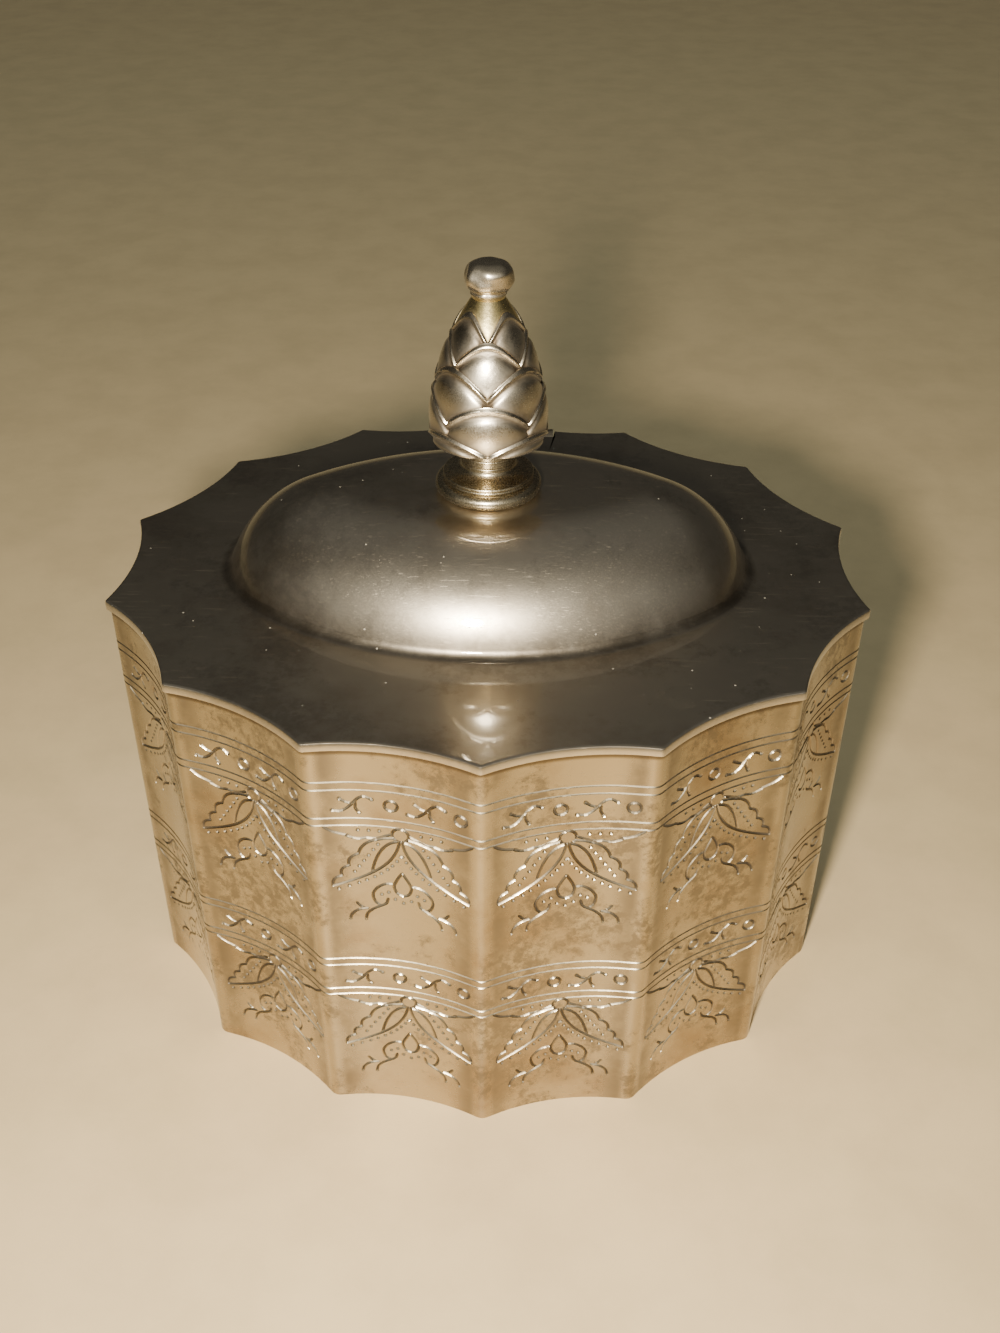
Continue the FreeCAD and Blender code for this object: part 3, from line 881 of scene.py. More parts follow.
class Finish:
    """A worn metal, to which a piece adds its own masks before it is closed."""

    def __init__(self, name, metal, roughness, stain_size):
        self.material = bpy.data.materials.new(name)
        self.material.use_nodes = True
        self.tree = self.material.node_tree
        self.shader = self.tree.nodes["Principled BSDF"].inputs
        self.shader["Metallic"].default_value = 1.0
        self.colour = rgba(metal)
        self.roughness = roughness
        self.relief = 0.0
        self.place = node(self.tree, "ShaderNodeTexCoord").outputs["Object"]
        inputs = {"Place": self.place, "Stain size": stain_size}
        self.wear = node(self.tree, "ShaderNodeGroup", inputs, node_tree=plate_wear()).outputs

    def attribute(self, name):
        return node(self.tree, "ShaderNodeAttribute", attribute_name=name).outputs["Fac"]

    def times(self, first, second):
        return maths(self.tree, "MULTIPLY", first, second)

    def cover(self, where, colour, darkness=1.0):
        """Lays a colour over the metal."""
        self.colour = mixed(self.tree, where, self.colour, rgba(colour, darkness))

    def roughen(self, where, by):
        self.roughness = weighted(self.tree, self.roughness, where, by)

    def emboss(self, where, by):
        """Raises the surface by so many metres, or lowers it."""
        self.relief = weighted(self.tree, self.relief, where, by)

    def close(self):
        bump = node(self.tree, "ShaderNodeBump", {"Strength": 1.0, "Distance": 1.0, "Height": self.relief})
        self.tree.links.new(self.colour, self.shader["Base Color"])
        self.tree.links.new(self.roughness, self.shader["Roughness"])
        self.tree.links.new(bump.outputs["Normal"], self.shader["Normal"])
        return self.material


def wall_finish(colours):
    finish = Finish("wall_plate", colours.champagne, roughness=0.16, stain_size=75.0)
    tree, wear = finish.tree, finish.wear
    finish.cover(finish.times(wear["Stain"], 0.8), colours.tarnish)
    # Film beside the ridges, which also paints the shade of the neighbouring flutes' dark reflections
    from_ridge = finish.attribute("from_ridge")
    begins, full, ends = RIDGE_FILM_AND_SHADE
    beside = finish.times(ramp(tree, from_ridge, begins, full), ramp(tree, from_ridge, full, ends, 1.0, 0.0))
    ridge_film_and_shade = finish.times(beside, mask(tree, finish.place, *RIDGE_FILM_AND_SHADE_NOISE))
    film_and_ridge_shade = maths(tree, "MAXIMUM", finish.times(wear["Film"], 0.8), ridge_film_and_shade)
    finish.cover(film_and_ridge_shade, colours.film_and_ridge_shade)
    # Painted shade at the top of the wall, under the lid's edge
    height = node(tree, "ShaderNodeSeparateXYZ", {"Vector": finish.place}).outputs["Z"]
    finish.cover(ramp(tree, height, *UNDER_LID_SHADE, 0.0, UNDER_LID_SHADE_STRENGTH), colours.recess)
    groove = finish.attribute("groove")
    finish.cover(finish.times(groove, 0.8), colours.recess)
    finish.roughen(wear["Grain"], by=0.06)
    finish.roughen(film_and_ridge_shade, by=0.25)
    finish.roughen(groove, by=0.45)
    finish.roughen(wear["Scratch"], by=0.12)
    finish.emboss(wear["Wave"], by=0.3 * MM)
    finish.emboss(wear["Grain"], by=0.0006 * MM)
    finish.emboss(wear["Scratch"], by=-0.002 * MM)
    return finish.close()


def lid_finish(colours):
    finish = Finish("lid_plate", colours.silver, roughness=0.29, stain_size=60.0)
    tree, wear, shader = finish.tree, finish.wear, finish.shader
    finish.cover(weighted(tree, 0.3, wear["Stain"], 0.45), colours.tarnish)
    finish.cover(finish.times(wear["Film"], 0.35), colours.film_and_ridge_shade)
    # Dirt and painted shade in the cove, which dim the fillet's highlight line
    dirt_and_shade = finish.times(finish.attribute("cove"), mask(tree, finish.place, *COVE_SHADE_AND_DIRT_NOISE))
    finish.cover(dirt_and_shade, colours.recess, COVE_SHADE_AND_DIRT_DARKNESS)
    finish.cover(wear["Dust"], colours.dust)
    finish.roughen(wear["Grain"], by=0.06)
    finish.roughen(wear["Scratch"], by=0.12)
    finish.roughen(dirt_and_shade, by=0.06)
    finish.emboss(wear["Wave"], by=0.05 * MM)
    finish.emboss(wear["Grain"], by=0.0006 * MM)
    finish.emboss(wear["Scratch"], by=-0.0015 * MM)
    tree.links.new(maths(tree, "SUBTRACT", 1.0, wear["Dust"]), shader["Metallic"])
    dull = maths(tree, "MAXIMUM", dirt_and_shade, wear["Dust"])
    tree.links.new(maths(tree, "SUBTRACT", 1.0, dull), shader["Coat Weight"])
    shader["Coat Roughness"].default_value = LID_COAT_ROUGHNESS
    shader["Coat IOR"].default_value = LID_COAT_IOR
    return finish.close()


def finial_finish(colours):
    finish = Finish("finial_plate", colours.silver, roughness=0.25, stain_size=160.0)
    wear = finish.wear
    recess = finish.attribute("recess")
    finish.cover(finish.times(wear["Stain"], 0.7), colours.film_and_ridge_shade)
    finish.cover(finish.times(finish.attribute("neck"), 0.85), colours.gilt)
    # Dirt and painted shade in the recesses
    finish.cover(recess, colours.recess)
    finish.roughen(wear["Grain"], by=0.08)
    finish.roughen(recess, by=0.3)
    finish.emboss(wear["Stain"], by=0.02 * MM)
    finish.emboss(wear["Grain"], by=0.0007 * MM)
    return finish.close()


def plain_plate(name, metal, tarnish, roughness):
    finish = Finish(name, metal, roughness, stain_size=110.0)
    wear = finish.wear
    finish.cover(finish.times(wear["Stain"], 0.6), tarnish)
    finish.roughen(wear["Grain"], by=0.15)
    finish.roughen(wear["Scratch"], by=0.15)
    finish.emboss(wear["Grain"], by=0.0015 * MM)
    finish.emboss(wear["Scratch"], by=-0.003 * MM)
    return finish.close()


# Pieces

# Edges that turn by more than this show as sharp
SHARP_ANGLE = math.radians(40)
FINIAL_SHARP_ANGLE = math.radians(50)

# How far the middle of a quarter round lies inside both of its faces, in radii
ROUND_MIDDLE = 1 - math.sqrt(0.5)


class PieceOperator:
    bl_options = {"REGISTER", "UNDO"}


class OVALBOX_OT_wall(PieceOperator, bpy.types.Operator):
    """Engraves one flute, repeats it round the plan and replaces the plain wall"""

    bl_idname = "oval_box.wall"
    bl_label = "Engraved Wall"

    PLAN_STEPS = (8, 48, 8)
    WELD_DISTANCE = 0.002 * MM

    def execute(self, context):
        settings = context.scene.oval_box
        sizes = settings.plan
        plan = Plan(sizes)
        nose = sizes.wall_ridge + sizes.wall_setback
        stretches = [plan.panel(index, sizes.wall_setback, nose) for index in range(plan.number)]
        lengths = np.array([sum(arc.length for arc in arcs) for arcs in stretches])
        back = plan.number // 2
        ridge = stretches[0][0].length
        panel = FlutePanel(lengths[0] / MM, WALL_HEIGHT / MM, ridge / MM, settings.engraving)
        shelf = self.panels(context, panel, sizes, self.notch_reach(stretches[back], sizes) / MM)
        places = np.concatenate([[0], np.cumsum(lengths)])[:-1]
        wall = mesh_object("engraved_wall", [(x, 0, 0) for x in places], [])
        point_values(wall.data, "panel_stretch", lengths / lengths[0])
        kinds = np.zeros(plan.number, np.int32)
        kinds[back - 1:back + 1] = (PANEL_KINDS.index(NOTCH_AT_END), PANEL_KINDS.index(NOTCH_AT_START))
        wall.data.attributes.new("panel_kind", "INT", "POINT").data.foreach_set("value", kinds)
        line_points = []
        for arcs in stretches:
            for arc, steps in zip(arcs, self.PLAN_STEPS):
                line_points += arc.points(np.arange(steps) / steps)
        line = plan_curve("plan_line", line_points)
        material = wall_finish(settings.finish)
        modifier = wall.modifiers.new("fluted_wall", "NODES")
        modifier.node_group = wall_tree()
        set_inputs(modifier, {
            "Plan line": line, "Panels": shelf, "Weld distance": self.WELD_DISTANCE, "Finish": material})
        context.view_layer.update()
        made = bpy.data.meshes.new_from_object(wall.evaluated_get(context.evaluated_depsgraph_get()))
        wall.modifiers.clear()
        wall.data = made
        face_normals(made)
        for helper in [line] + list(shelf.objects):
            bpy.data.objects.remove(helper)
        bpy.data.collections.remove(shelf)
        dress(wall, material, "box_body", "body_wall")
        return {"FINISHED"}

    def panels(self, context, panel, sizes, reach):
        """A collection of the whole panel and the two that share the hinge's notch."""
        bottom = (HINGE_AXIS.z - KNUCKLE_RADIUS - sizes.hinge_clearance) / MM
        notches = {
            WHOLE: None,
            NOTCH_AT_END: (panel.width - reach, panel.width, bottom),
            NOTCH_AT_START: (0.0, reach, bottom),
        }
        shelf = bpy.data.collections.new("wall_panels")
        for name in PANEL_KINDS:
            slab = panel_slab(name, panel, sizes.wall_thickness / MM, notches[name])
            context.scene.collection.objects.unlink(slab)
            shelf.objects.link(slab)
        return shelf

    def notch_reach(self, arcs, sizes):
        """How far along the wall the hinge's notch reaches from the back ridge."""
        half = HINGE_END + sizes.hinge_clearance
        ridge, flute = arcs[:2]
        place = halved(0.0, 1.0, lambda place: abs(flute.points([place])[0].real) < half)
        return ridge.length + place * flute.length


class OVALBOX_OT_lid(PieceOperator, bpy.types.Operator):
    """Builds the flange, cove and dome of the lid and replaces the plain one"""

    bl_idname = "oval_box.lid"
    bl_label = "Domed Lid"

    EDGE_STEPS = (4, 20, 4)
    DOME_STEPS = 26
    COVE_STEPS = 12
    FLANGE_PLACES = (0.01, 0.2, 0.4, 0.6, 0.8, 0.99)
    LOWER_EDGE = 1 / 3
    STUD_CLEARANCE = 0.05 * MM

    # Rings before or after the start and the end of the cove where its dirt and painted shade change, and how
    # much there is
    SHADE_AND_DIRT_AT_START = (-6, 2)
    SHADE_AND_DIRT_AT_END = (-3, 3)
    SHADE_AND_DIRT = (0.0, 1.0, 0.9, 0.0)

    def execute(self, context):
        settings = context.scene.oval_box
        lid = settings.lid
        rings = self.rings(Plan(settings.plan), settings.plan, lid)
        vertices = [(p.real, p.imag, height) for ring, height in rings for p in ring]
        number = len(rings[0][0])
        faces = [face[::-1] for face in ring_faces(len(rings), number)]
        last = (len(rings) - 1) * number
        for step in range(number):
            beside = (step + 1) % number
            faces.append((step, beside, last + beside, last + step))
        obj = mesh_object("domed_lid", vertices, faces)
        obj.data.set_sharp_from_angle(angle=SHARP_ANGLE)
        cove_start = self.DOME_STEPS
        cove_end = cove_start + self.COVE_STEPS
        changes = [cove_start + ring for ring in self.SHADE_AND_DIRT_AT_START]
        changes += [cove_end + ring for ring in self.SHADE_AND_DIRT_AT_END]
        dirt_and_shade = np.interp(np.arange(len(rings)), changes, self.SHADE_AND_DIRT)
        point_values(obj.data, "cove", np.repeat(dirt_and_shade, number))
        dress(obj, lid_finish(settings.finish), "lid_body", "lid")
        return {"FINISHED"}

    def rings(self, plan, sizes, lid):
        """Outlines and heights from the stud's hole out over the top, round the edge and back below."""
        thin = lid.edge_round
        inset = thin * ROUND_MIDDLE
        edge, whole = self.edge(plan, sizes, 0.0)
        bevel, _ = self.edge(plan, sizes, thin)
        nearly, _ = self.edge(plan, sizes, inset)
        at = self.oval(lid, whole)
        foot = at(lid.dome_half_width)
        hole = (STUD_RADIUS + self.STUD_CLEARANCE) * foot / abs(foot)
        flange = [foot + (bevel - foot) * place for place in self.FLANGE_PLACES]
        upper, lower = self.section(lid)
        rings = [(hole, SEAT_HEIGHT)]
        rings += [(at(radius), height) for radius, height in upper]
        rings += [(outline, LID_TOP) for outline in flange]
        rings += [(bevel, LID_TOP), (nearly, LID_TOP - inset), (edge, LID_TOP - thin)]
        rings.append((edge, WALL_HEIGHT + thin * self.LOWER_EDGE))
        rings.append((edge + (bevel - edge) * self.LOWER_EDGE, WALL_HEIGHT))
        rings += [(outline, WALL_HEIGHT) for outline in reversed(flange)]
        rings += [(at(radius), height) for radius, height in reversed(lower)]
        rings.append((hole, SEAT_HEIGHT - lid.thickness))
        return rings

    def edge(self, plan, sizes, inset):
        """The flange's edge with the hinge's notch in the middle of its back, and without the notch."""
        points = plan.outline(inset, sizes.lid_ridge, self.EDGE_STEPS)
        half = HINGE_END + sizes.hinge_clearance
        front = HINGE_AXIS.y - KNUCKLE_RADIUS - sizes.hinge_clearance
        cut = (points.imag > 0) & (abs(points.real) < half)
        first, last = np.flatnonzero(cut)[[0, -1]]
        sides = []
        for inner, outer in ((first, first - 1), (last, last + 1)):
            start, step = points[outer], points[inner] - points[outer]
            sides.append(start + step * (math.copysign(half, start.real) - start.real) / step.real)
        floor = np.linspace(half, -half, last - first + 1) + 1j * front
        before, after = points[:first], points[last + 1:]
        notched = np.concatenate([before, sides[:1], floor, sides[1:], after])
        whole = np.concatenate([before, sides[:1], points[first:last + 1], sides[1:], after])
        return notched, whole

    def oval(self, lid, edge):
        """Points of the dome's oval of four arcs, square in from the edge's points, at a given half width."""
        crown = lid.seat_radius - lid.crown_end_radius
        end_radius = lid.dome_half_width - crown
        end_centre = lid.dome_half_length - end_radius
        side_centre = (end_centre ** 2 - crown ** 2) / (2 * crown)
        centre = np.where(edge.imag > 0, -1j, 1j) * side_centre
        beyond = abs((edge - centre).real) * side_centre > abs((edge - centre).imag) * end_centre
        centre = np.where(beyond, np.sign(edge.real) * end_centre, centre)
        direction = (edge - centre) / abs(edge - centre)
        inner = np.where(beyond, 0.0, side_centre + crown)
        return lambda half_width: centre + direction * (inner + half_width - crown)

    def section(self, lid):
        """Radius and height from the seat to the foot of the cove, on the upper and the lower face."""
        run = lid.dome_half_width - lid.seat_radius
        rise = SEAT_HEIGHT - LID_TOP
        dome = (run ** 2 + rise ** 2) / (2 * rise) - lid.cove_radius
        dome_centre = complex(lid.seat_radius, SEAT_HEIGHT - dome)
        cove_centre = complex(lid.dome_half_width, LID_TOP + lid.cove_radius)
        lean = np.angle(cove_centre - dome_centre)
        dome_arc = np.exp(1j * np.linspace(math.pi / 2, lean, self.DOME_STEPS + 1))
        cove_arc = np.exp(1j * np.linspace(math.pi + lean, 1.5 * math.pi, self.COVE_STEPS + 1))[1:]
        faces = []
        for depth in (0.0, lid.thickness):
            on_dome = dome_centre + (dome - depth) * dome_arc
            on_cove = cove_centre + (lid.cove_radius + depth) * cove_arc
            faces.append([(p.real, p.imag) for p in np.concatenate([on_dome, on_cove])])
        return faces


class OVALBOX_OT_finial(PieceOperator, bpy.types.Operator):
    """Builds the bud with its rows of scales, its neck and its button"""

    bl_idname = "oval_box.finial"
    bl_label = "Scaled Finial"

    COLUMNS = 208
    LEVELS = 18
    NECK_LEVELS = 10
    BUTTON_LEVELS = 26

    FOOT_PLACES = (0.45, 0.8)
    # Dirt and painted shade on the bud's underside
    FOOT_DIRT_AND_SHADE = 0.5
    ROW_SHRINK = 0.86
    LOWEST_TIP = 0.0025
    CROWN_GAP = 0.0012
    ARCH = 0.0029
    LOWEST_ARCH = 0.0018
    SCALE_LENGTH = 0.0068
    RIM_WIDTH = 0.00075
    CREASE = 0.00028
    CREASE_POWER = 14
    PILLOW_POWER = 2.5
    PILLOW_SPAN = (0.2, 0.95)
    SINK = 0.00028
    LEAST_RELIEF = 0.4

    # Middle and width of the bead and of the hollow under it, in rim widths below a scale's edge
    BEAD = (0.55, 0.35)
    HOLLOW = (1.6, 0.5)

    # Dirt and painted shade at the roots of the scales, in the hollows under their beads and at the foot of
    # the crown; the beads are worn clean
    ROOT = 0.5 * MM
    ROOT_DIRT_AND_SHADE = 0.95
    HOLLOW_DIRT_AND_SHADE = 0.75
    BEAD_WEAR = 0.8
    CROWN_DIRT_AND_SHADE = 0.8
    CROWN_DIRT_AND_SHADE_FADE = 3

    # Places on the button run from -1 at its foot to 1 at its top
    NECK_LENGTH = 0.0005
    BUTTON_START = -0.93
    BUTTON_POWER = 2.7
    NECK_END = -0.5
    # The button's lower part, up to this place, has dirt and painted shade
    DIRT_AND_SHADE_END = -0.75
    GILT_END = -0.8
    BUTTON_DIRT_AND_SHADE = 0.5
    BUTTON_GILT = 0.6
    TIP_RADIUS = 0.0002
    DIMPLE_DEPTH = 0.00025
    DIMPLE_RADIUS = 0.0011
    LUMP = 0.0004
    LUMP_SINK = 0.5
    LUMPS_ROUND = 1.6
    LUMPS_UP = 1.9

    def execute(self, context):
        settings = context.scene.oval_box
        sizes = settings.finial
        angles = 2 * math.pi * np.arange(self.COLUMNS) / self.COLUMNS
        rings = self.foot(sizes)
        floor = np.zeros(self.COLUMNS)
        for row in range(sizes.rows):
            aside, arch = self.arches(row, sizes, angles)
            rings += self.scale_row(row, sizes, aside, floor, arch)
            floor = arch
        rings += self.crown(sizes, floor) + self.button(sizes)
        spread = np.array([np.broadcast_arrays(*ring, angles)[:-1] for ring in rings])
        radius, height, recess, neck = spread.swapaxes(0, 1)
        places = np.stack([radius * np.sin(angles), -radius * np.cos(angles), FINIAL_BASE + height], 2)
        points = places.reshape(-1, 3)
        obj = stacked("scaled_finial", points, self.COLUMNS, FINIAL_BASE, points[-1][2])
        point_values(obj.data, "recess", np.append(recess, (0, 0)))
        point_values(obj.data, "neck", np.append(neck, (0, 0)))
        obj.data.set_sharp_from_angle(angle=FINIAL_SHARP_ANGLE)
        dress(obj, finial_finish(settings.finish), "lid_body", "finial")
        return {"FINISHED"}

    def bud_width(self, sizes, height):
        rise = height - sizes.widest_height
        fall = sizes.bud_radius - sizes.neck_radius
        climb = sizes.bud_height - sizes.widest_height
        curve = np.where(rise > 0, (climb ** 2 + fall ** 2) / (2 * fall), sizes.widest_height)
        return sizes.bud_radius - curve + np.sqrt(np.maximum(curve ** 2 - rise ** 2, 0))

    def tip(self, sizes, row):
        steps = self.ROW_SHRINK ** np.arange(sizes.rows - 1)
        climb = sizes.bud_height - self.CROWN_GAP - self.LOWEST_TIP
        return self.LOWEST_TIP + climb * steps[:row].sum() / steps.sum()

    # Each ring is its radius, its height, the dirt and painted shade in it and how much of the worn neck's
    # yellow it shows

    def foot(self, sizes):
        return [(self.bud_width(sizes, 0.0) * place, 0.0, self.FOOT_DIRT_AND_SHADE, 0.0) for place in self.FOOT_PLACES]

    def arches(self, row, sizes, angles):
        """How far each column is from its scale's middle, -1 to 1, and the height of the scale's edge."""
        half_turn = math.pi / sizes.scales
        turn = angles - half_turn * (row + 1)
        aside = ((turn + half_turn) % (2 * half_turn)) / half_turn - 1
        return aside, self.tip(sizes, row) - (self.ARCH if row else self.LOWEST_ARCH) * aside ** 2

    def scale_row(self, row, sizes, aside, floor, arch):
        """Rings from the edges of the row below to this row's."""
        rings = []
        off_middle = np.abs(aside)
        for place in np.sin(np.linspace(0, math.pi / 2, self.LEVELS)):
            height = floor + (arch - floor) * place
            below = arch - height
            grown = np.clip(1 - below / self.SCALE_LENGTH, 0, 1)
            bead, hollow = (
                np.exp(-((below / self.RIM_WIDTH - middle) / width) ** 2)
                for middle, width in (self.BEAD, self.HOLLOW))
            swell = np.sin(math.pi * np.clip(grown, *self.PILLOW_SPAN))
            relief = sizes.lip * grown ** 2 - sizes.lip / 2
            relief += sizes.pillow * (1 - off_middle ** self.PILLOW_POWER) * swell
            relief += sizes.rim * bead - sizes.rim * hollow
            relief -= self.CREASE * off_middle ** self.CREASE_POWER * grown
            width = self.bud_width(sizes, height)
            relief *= self.LEAST_RELIEF + (1 - self.LEAST_RELIEF) * width / sizes.bud_radius
            at_root = np.exp(-(height - floor) / self.ROOT) if row else 0.0
            # Dirt and painted shade at the roots and in the hollows, less on the beads
            dirt_and_shade = self.ROOT_DIRT_AND_SHADE * at_root + self.HOLLOW_DIRT_AND_SHADE * hollow - self.BEAD_WEAR * bead
            rings.append((width + relief - self.SINK, height, np.clip(dirt_and_shade, 0, 1), 0.0))
        return rings

    def crown(self, sizes, floor):
        """The bare top of the bud, up to the neck."""
        rings = []
        for place in np.linspace(0, 1, self.NECK_LEVELS):
            height = floor + (sizes.bud_height - floor) * place
            dirt_and_shade = max(0.0, self.CROWN_DIRT_AND_SHADE - self.CROWN_DIRT_AND_SHADE_FADE * place)
            rings.append((self.bud_width(sizes, height) - sizes.lip, height, dirt_and_shade, 1.0))
        return rings

    def button(self, sizes):
        """The lumpy button on the neck, with a dimple in its top."""
        rings = []
        half = sizes.button_height / 2
        middle = sizes.bud_height + self.NECK_LENGTH + half
        spots = circle((0, 0), self.LUMPS_ROUND, self.COLUMNS)
        for place in np.linspace(self.BUTTON_START, 1, self.BUTTON_LEVELS):
            rise = math.sin(place * math.pi / 2)
            round_off = max(1 - abs(rise) ** self.BUTTON_POWER, 0.0) ** (1 / self.BUTTON_POWER)
            least = sizes.neck_radius if place < self.NECK_END else self.TIP_RADIUS
            radius = max(sizes.button_radius * round_off, least)
            dimple = self.DIMPLE_DEPTH * math.exp(-(radius / self.DIMPLE_RADIUS) ** 2) if place > 0 else 0.0
            lumps = np.array([noise.noise(Vector((x, y, place * self.LUMPS_UP))) for x, y in spots])
            dirt_and_shade = self.BUTTON_DIRT_AND_SHADE if place < self.DIRT_AND_SHADE_END else 0.0
            gilt = self.BUTTON_GILT if place < self.GILT_END else 0.0
            ripple = self.LUMP * (lumps - self.LUMP_SINK) * round_off
            rings.append((radius + ripple, middle + rise * half - dimple, dirt_and_shade, gilt))
        return rings


class OVALBOX_OT_pedestal(PieceOperator, bpy.types.Operator):
    """Turns the pedestal with its moulded foot and replaces the plain one"""

    bl_idname = "oval_box.pedestal"
    bl_label = "Finial Pedestal"

    SEGMENTS = 144
    STEPS = 10
    ROUGHNESS = 0.2

    def execute(self, context):
        settings = context.scene.oval_box
        finish, sizes = settings.finish, settings.pedestal
        rings_base = PEDESTAL_BASE + sizes.foot_height
        ring = (sizes.ring_height, sizes.ring_relief)
        cove_base = rings_base + 2 * sizes.ring_height
        cove_top = PEDESTAL_BASE + sizes.cove_top
        profile = [(0.0, PEDESTAL_BASE), (sizes.underside_radius, PEDESTAL_BASE)]
        profile += self.bead(sizes.foot_radius, PEDESTAL_BASE, sizes.foot_height, sizes.foot_relief)
        profile += self.bead(sizes.ring_radius, rings_base, *ring)
        profile += self.bead(sizes.ring_radius, rings_base + sizes.ring_height, *ring)[1:]
        for turn in np.linspace(0, math.pi / 2, self.STEPS):
            radius = sizes.lip_radius - (sizes.lip_radius - sizes.shaft_radius) * math.sin(turn)
            profile.append((radius, cove_top - (cove_top - cove_base) * math.cos(turn)))
        crest = sizes.shaft_radius + sizes.collar_relief
        for place in (sizes.lower_collar, sizes.upper_collar):
            profile += self.bead(crest, PEDESTAL_BASE + place, sizes.collar_height, sizes.collar_relief)
        profile += [(sizes.shaft_radius, PEDESTAL_TOP), (0.0, PEDESTAL_TOP)]
        obj = turned_piece("turned_pedestal", profile, self.SEGMENTS)
        obj.data.set_sharp_from_angle(angle=SHARP_ANGLE)
        material = plain_plate("pedestal_plate", finish.champagne, finish.tarnish, self.ROUGHNESS)
        dress(obj, material, "lid_body", "finial_pedestal")
        return {"FINISHED"}

    def bead(self, crest, bottom, height, relief):
        """A half-round moulding from its lower to its upper edge."""
        turns = np.linspace(-math.pi / 2, math.pi / 2, self.STEPS)
        radii = crest - relief + relief * np.cos(turns)
        return list(zip(radii, bottom + height / 2 * (1 + np.sin(turns))))


class OVALBOX_OT_fittings(PieceOperator, bpy.types.Operator):
    """Finishes the base, the hinge and the finial's fixings, whose shapes the frame gives"""

    bl_idname = "oval_box.fittings"
    bl_label = "Base, Hinge and Fixings"

    def execute(self, context):
        colours = context.scene.oval_box.finish
        for name, metal, roughness, pieces in (
            ("inner_plate", colours.silver, 0.22, ("base_plate", "hinge_body_leaf", "hinge_lid_leaf")),
            ("fixing_brass", colours.brass, 0.25, ("finial_stud", "finial_washer", "finial_nut")),
            ("pin_steel", colours.steel, 0.3, ("hinge_pin",)),
        ):
            finish = plain_plate(name, metal, colours.tarnish, roughness)
            for piece in pieces:
                for place in frame["nodes"][piece].material_slots:
                    place.material = finish
        return {"FINISHED"}


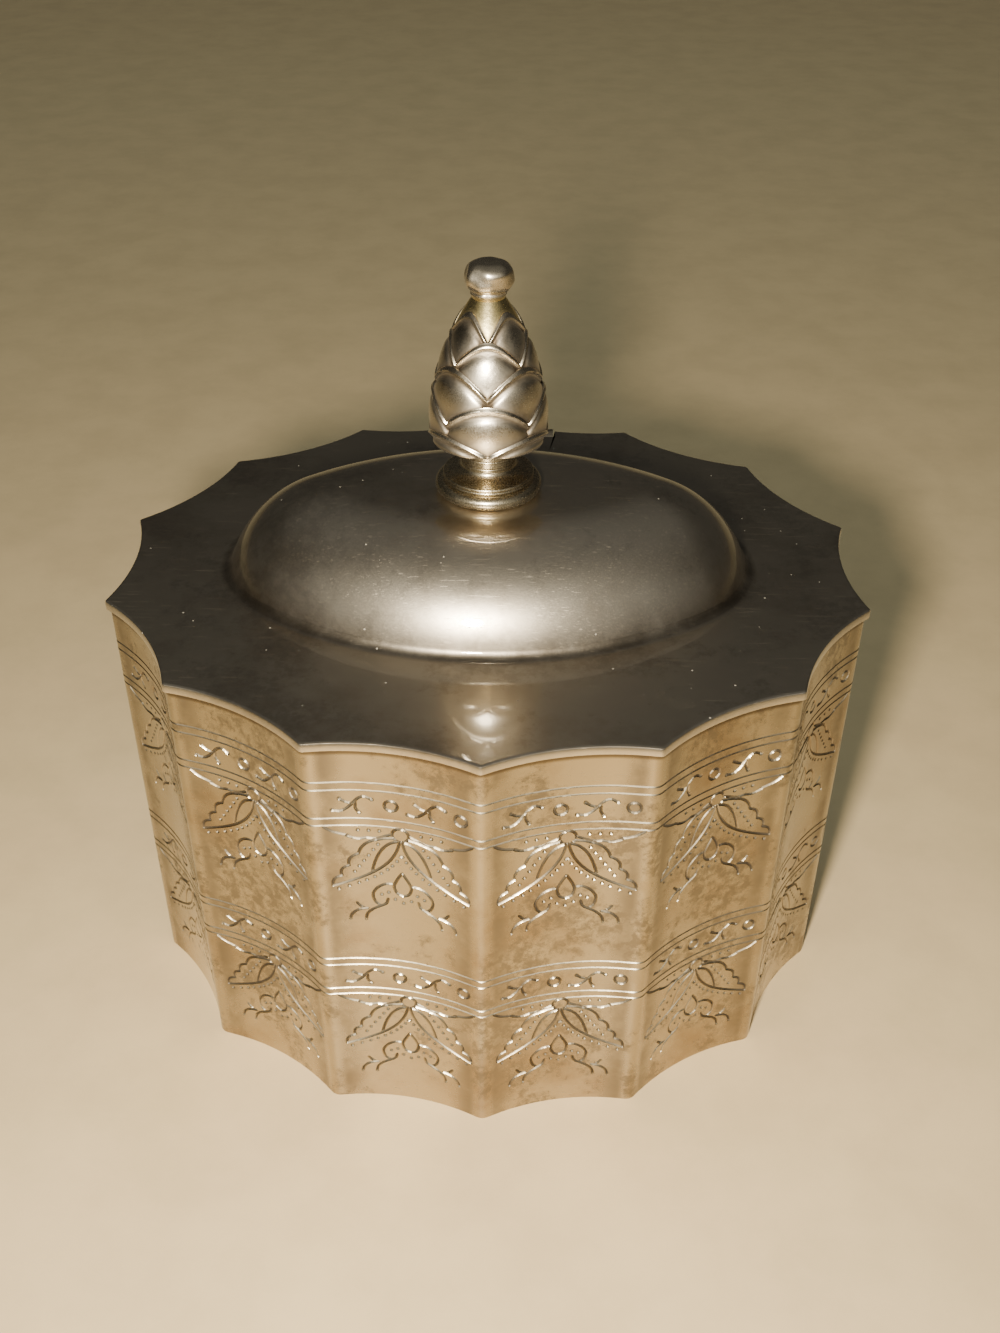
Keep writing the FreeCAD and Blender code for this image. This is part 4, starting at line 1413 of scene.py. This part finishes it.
class OVALBOX_OT_stage(PieceOperator, bpy.types.Operator):
    """Sets the floor, the lights and the camera"""

    bl_idname = "oval_box.stage"
    bl_label = "Stage"

    FLOOR_HALF = 4.0
    FLOOR_ROUGHNESS = 0.55
    MOTTLE = 0.88
    SENSOR_WIDTH = 36.0
    NEAREST = 0.01
    CAMERA_PLACE = Vector((0.003401, -0.165009, 0.167145))
    ELEVATION = math.radians(36.122)
    AZIMUTH = math.radians(0.603)
    ROLL = math.radians(0.345)
    KEY_PLACE = Vector((-0.0165, -0.167, 0.1535))
    KEY_TARGET = Vector((0.0, 0.0, 0.06))
    KEY_SIZE = 0.02
    FILL_PLACE = Vector((0.0, 0.3, 1.1))
    FILL_TARGET = Vector()
    FILL_SIZE = 0.7
    KEY_TINT = (1.0, 0.93, 0.78)
    FILL_TINT = (0.68, 0.95, 1.0)
    ROOM_TINT = (1.0, 0.97, 0.84)

    # Parts of a direction's height and depth over which the room changes
    OVERHEAD_SPAN = (0.45, 1.0)
    FRONT_SPAN = (-0.9, 0.0)

    def execute(self, context):
        stage = context.scene.oval_box.stage
        self.floor(stage)
        self.camera(context, stage)
        key = self.light("key_light", self.KEY_PLACE, self.KEY_TARGET, self.KEY_SIZE)
        key.data.energy = stage.key_power
        key.data.color = self.KEY_TINT
        fill = self.light("fill_light", self.FILL_PLACE, self.FILL_TARGET, self.FILL_SIZE)
        fill.data.energy = stage.fill_power
        fill.data.color = self.FILL_TINT
        fill.visible_glossy = False
        self.room(context, stage)
        return {"FINISHED"}

    def room(self, context, stage):
        """A dim room, lighter overhead and lightest behind the camera."""
        world = bpy.data.worlds.new("dim_room")
        world.use_nodes = True
        tree = world.node_tree
        way = node(tree, "ShaderNodeTexCoord").outputs["Generated"]
        parts = node(tree, "ShaderNodeSeparateXYZ", {"Vector": way}).outputs
        surround, overhead, front = (
            rgba(self.ROOM_TINT, amount) for amount in (stage.surround, stage.overhead, stage.front))
        light = mixed(tree, ramp(tree, parts["Z"], *self.OVERHEAD_SPAN), surround, overhead)
        light = mixed(tree, ramp(tree, parts["Y"], *self.FRONT_SPAN, 1.0, 0.0), light, front)
        tree.links.new(light, tree.nodes["Background"].inputs["Color"])
        context.scene.world = world

    def floor(self, stage):
        half = self.FLOOR_HALF
        corners = [(-half, -half, 0), (half, -half, 0), (half, half, 0), (-half, half, 0)]
        floor = mesh_object("floor", corners, [(0, 1, 2, 3)])
        material = bpy.data.materials.new("pale_floor")
        material.use_nodes = True
        tree = material.node_tree
        shader = tree.nodes["Principled BSDF"].inputs
        shader["Roughness"].default_value = self.FLOOR_ROUGHNESS
        place = node(tree, "ShaderNodeTexCoord").outputs["Object"]
        mottle = mask(tree, place, *MOTTLE_NOISE)
        tint = mixed(tree, mottle, rgba(stage.floor), rgba(stage.floor, self.MOTTLE))
        tree.links.new(tint, shader["Base Color"])
        floor.data.materials.append(material)

    def camera(self, context, stage):
        data = bpy.data.cameras.new("camera")
        data.lens = stage.focal_length
        data.sensor_width = self.SENSOR_WIDTH
        data.clip_start = self.NEAREST
        camera = bpy.data.objects.new("camera", data)
        context.scene.collection.objects.link(camera)
        level = math.cos(self.ELEVATION)
        right = Vector((math.cos(self.AZIMUTH), math.sin(self.AZIMUTH), 0.0))
        back = Vector((right.y * level, -right.x * level, math.sin(self.ELEVATION)))
        up = back.cross(right)
        turned_right = right * math.cos(self.ROLL) + up * math.sin(self.ROLL)
        turned_up = up * math.cos(self.ROLL) - right * math.sin(self.ROLL)
        turn = Matrix((turned_right, turned_up, back)).transposed()
        camera.matrix_world = Matrix.Translation(self.CAMERA_PLACE) @ turn.to_4x4()
        context.scene.camera = camera

    def light(self, name, place, target, size):
        data = bpy.data.lights.new(name, "AREA")
        data.shape = "DISK"
        data.size = size
        light = bpy.data.objects.new(name, data)
        bpy.context.scene.collection.objects.link(light)
        aim = (target - place).to_track_quat("-Z", "Y")
        light.matrix_world = Matrix.Translation(place) @ aim.to_matrix().to_4x4()
        return light


class OVALBOX_PT_sidebar(bpy.types.Panel):
    """Lists the steps and the sizes of the box"""

    bl_idname = "OVALBOX_PT_sidebar"
    bl_label = "Oval Box"
    bl_space_type = "VIEW_3D"
    bl_region_type = "UI"
    bl_category = "Oval Box"

    def draw(self, context):
        layout = self.layout
        for step in STEPS:
            layout.operator(step.bl_idname)
        for group in GROUPS:
            box = layout.box()
            box.label(text=group.capitalize())
            values = getattr(context.scene.oval_box, group)
            for name in values.__annotations__:
                box.prop(values, name)


class OvalBoxSettings(bpy.types.PropertyGroup):
    """Everything that a user would change."""

    plan: bpy.props.PointerProperty(type=OvalBoxPlan, name="Plan")
    engraving: bpy.props.PointerProperty(type=OvalBoxEngraving, name="Engraving")
    lid: bpy.props.PointerProperty(type=OvalBoxLid, name="Lid")
    finial: bpy.props.PointerProperty(type=OvalBoxFinial, name="Finial")
    pedestal: bpy.props.PointerProperty(type=OvalBoxPedestal, name="Pedestal")
    finish: bpy.props.PointerProperty(type=OvalBoxFinish, name="Finish")
    stage: bpy.props.PointerProperty(type=OvalBoxStage, name="Stage")


GROUPS = ("plan", "engraving", "lid", "finial", "pedestal", "finish", "stage")
STEPS = (
    OVALBOX_OT_wall, OVALBOX_OT_lid, OVALBOX_OT_finial,
    OVALBOX_OT_pedestal, OVALBOX_OT_fittings, OVALBOX_OT_stage,
)
CLASSES = (
    OvalBoxPlan, OvalBoxEngraving, OvalBoxLid, OvalBoxFinial, OvalBoxPedestal, OvalBoxFinish, OvalBoxStage,
    OvalBoxSettings, *STEPS, OVALBOX_PT_sidebar,
)


def register():
    for item in CLASSES:
        bpy.utils.register_class(item)
    bpy.types.Scene.oval_box = bpy.props.PointerProperty(type=OvalBoxSettings)


def unregister():
    del bpy.types.Scene.oval_box
    for item in reversed(CLASSES):
        bpy.utils.unregister_class(item)


def main():
    register()
    bpy.ops.oval_box.wall()
    bpy.ops.oval_box.lid()
    bpy.ops.oval_box.finial()
    bpy.ops.oval_box.pedestal()
    bpy.ops.oval_box.fittings()
    bpy.ops.oval_box.stage()


if __name__ == "__main__":
    main()
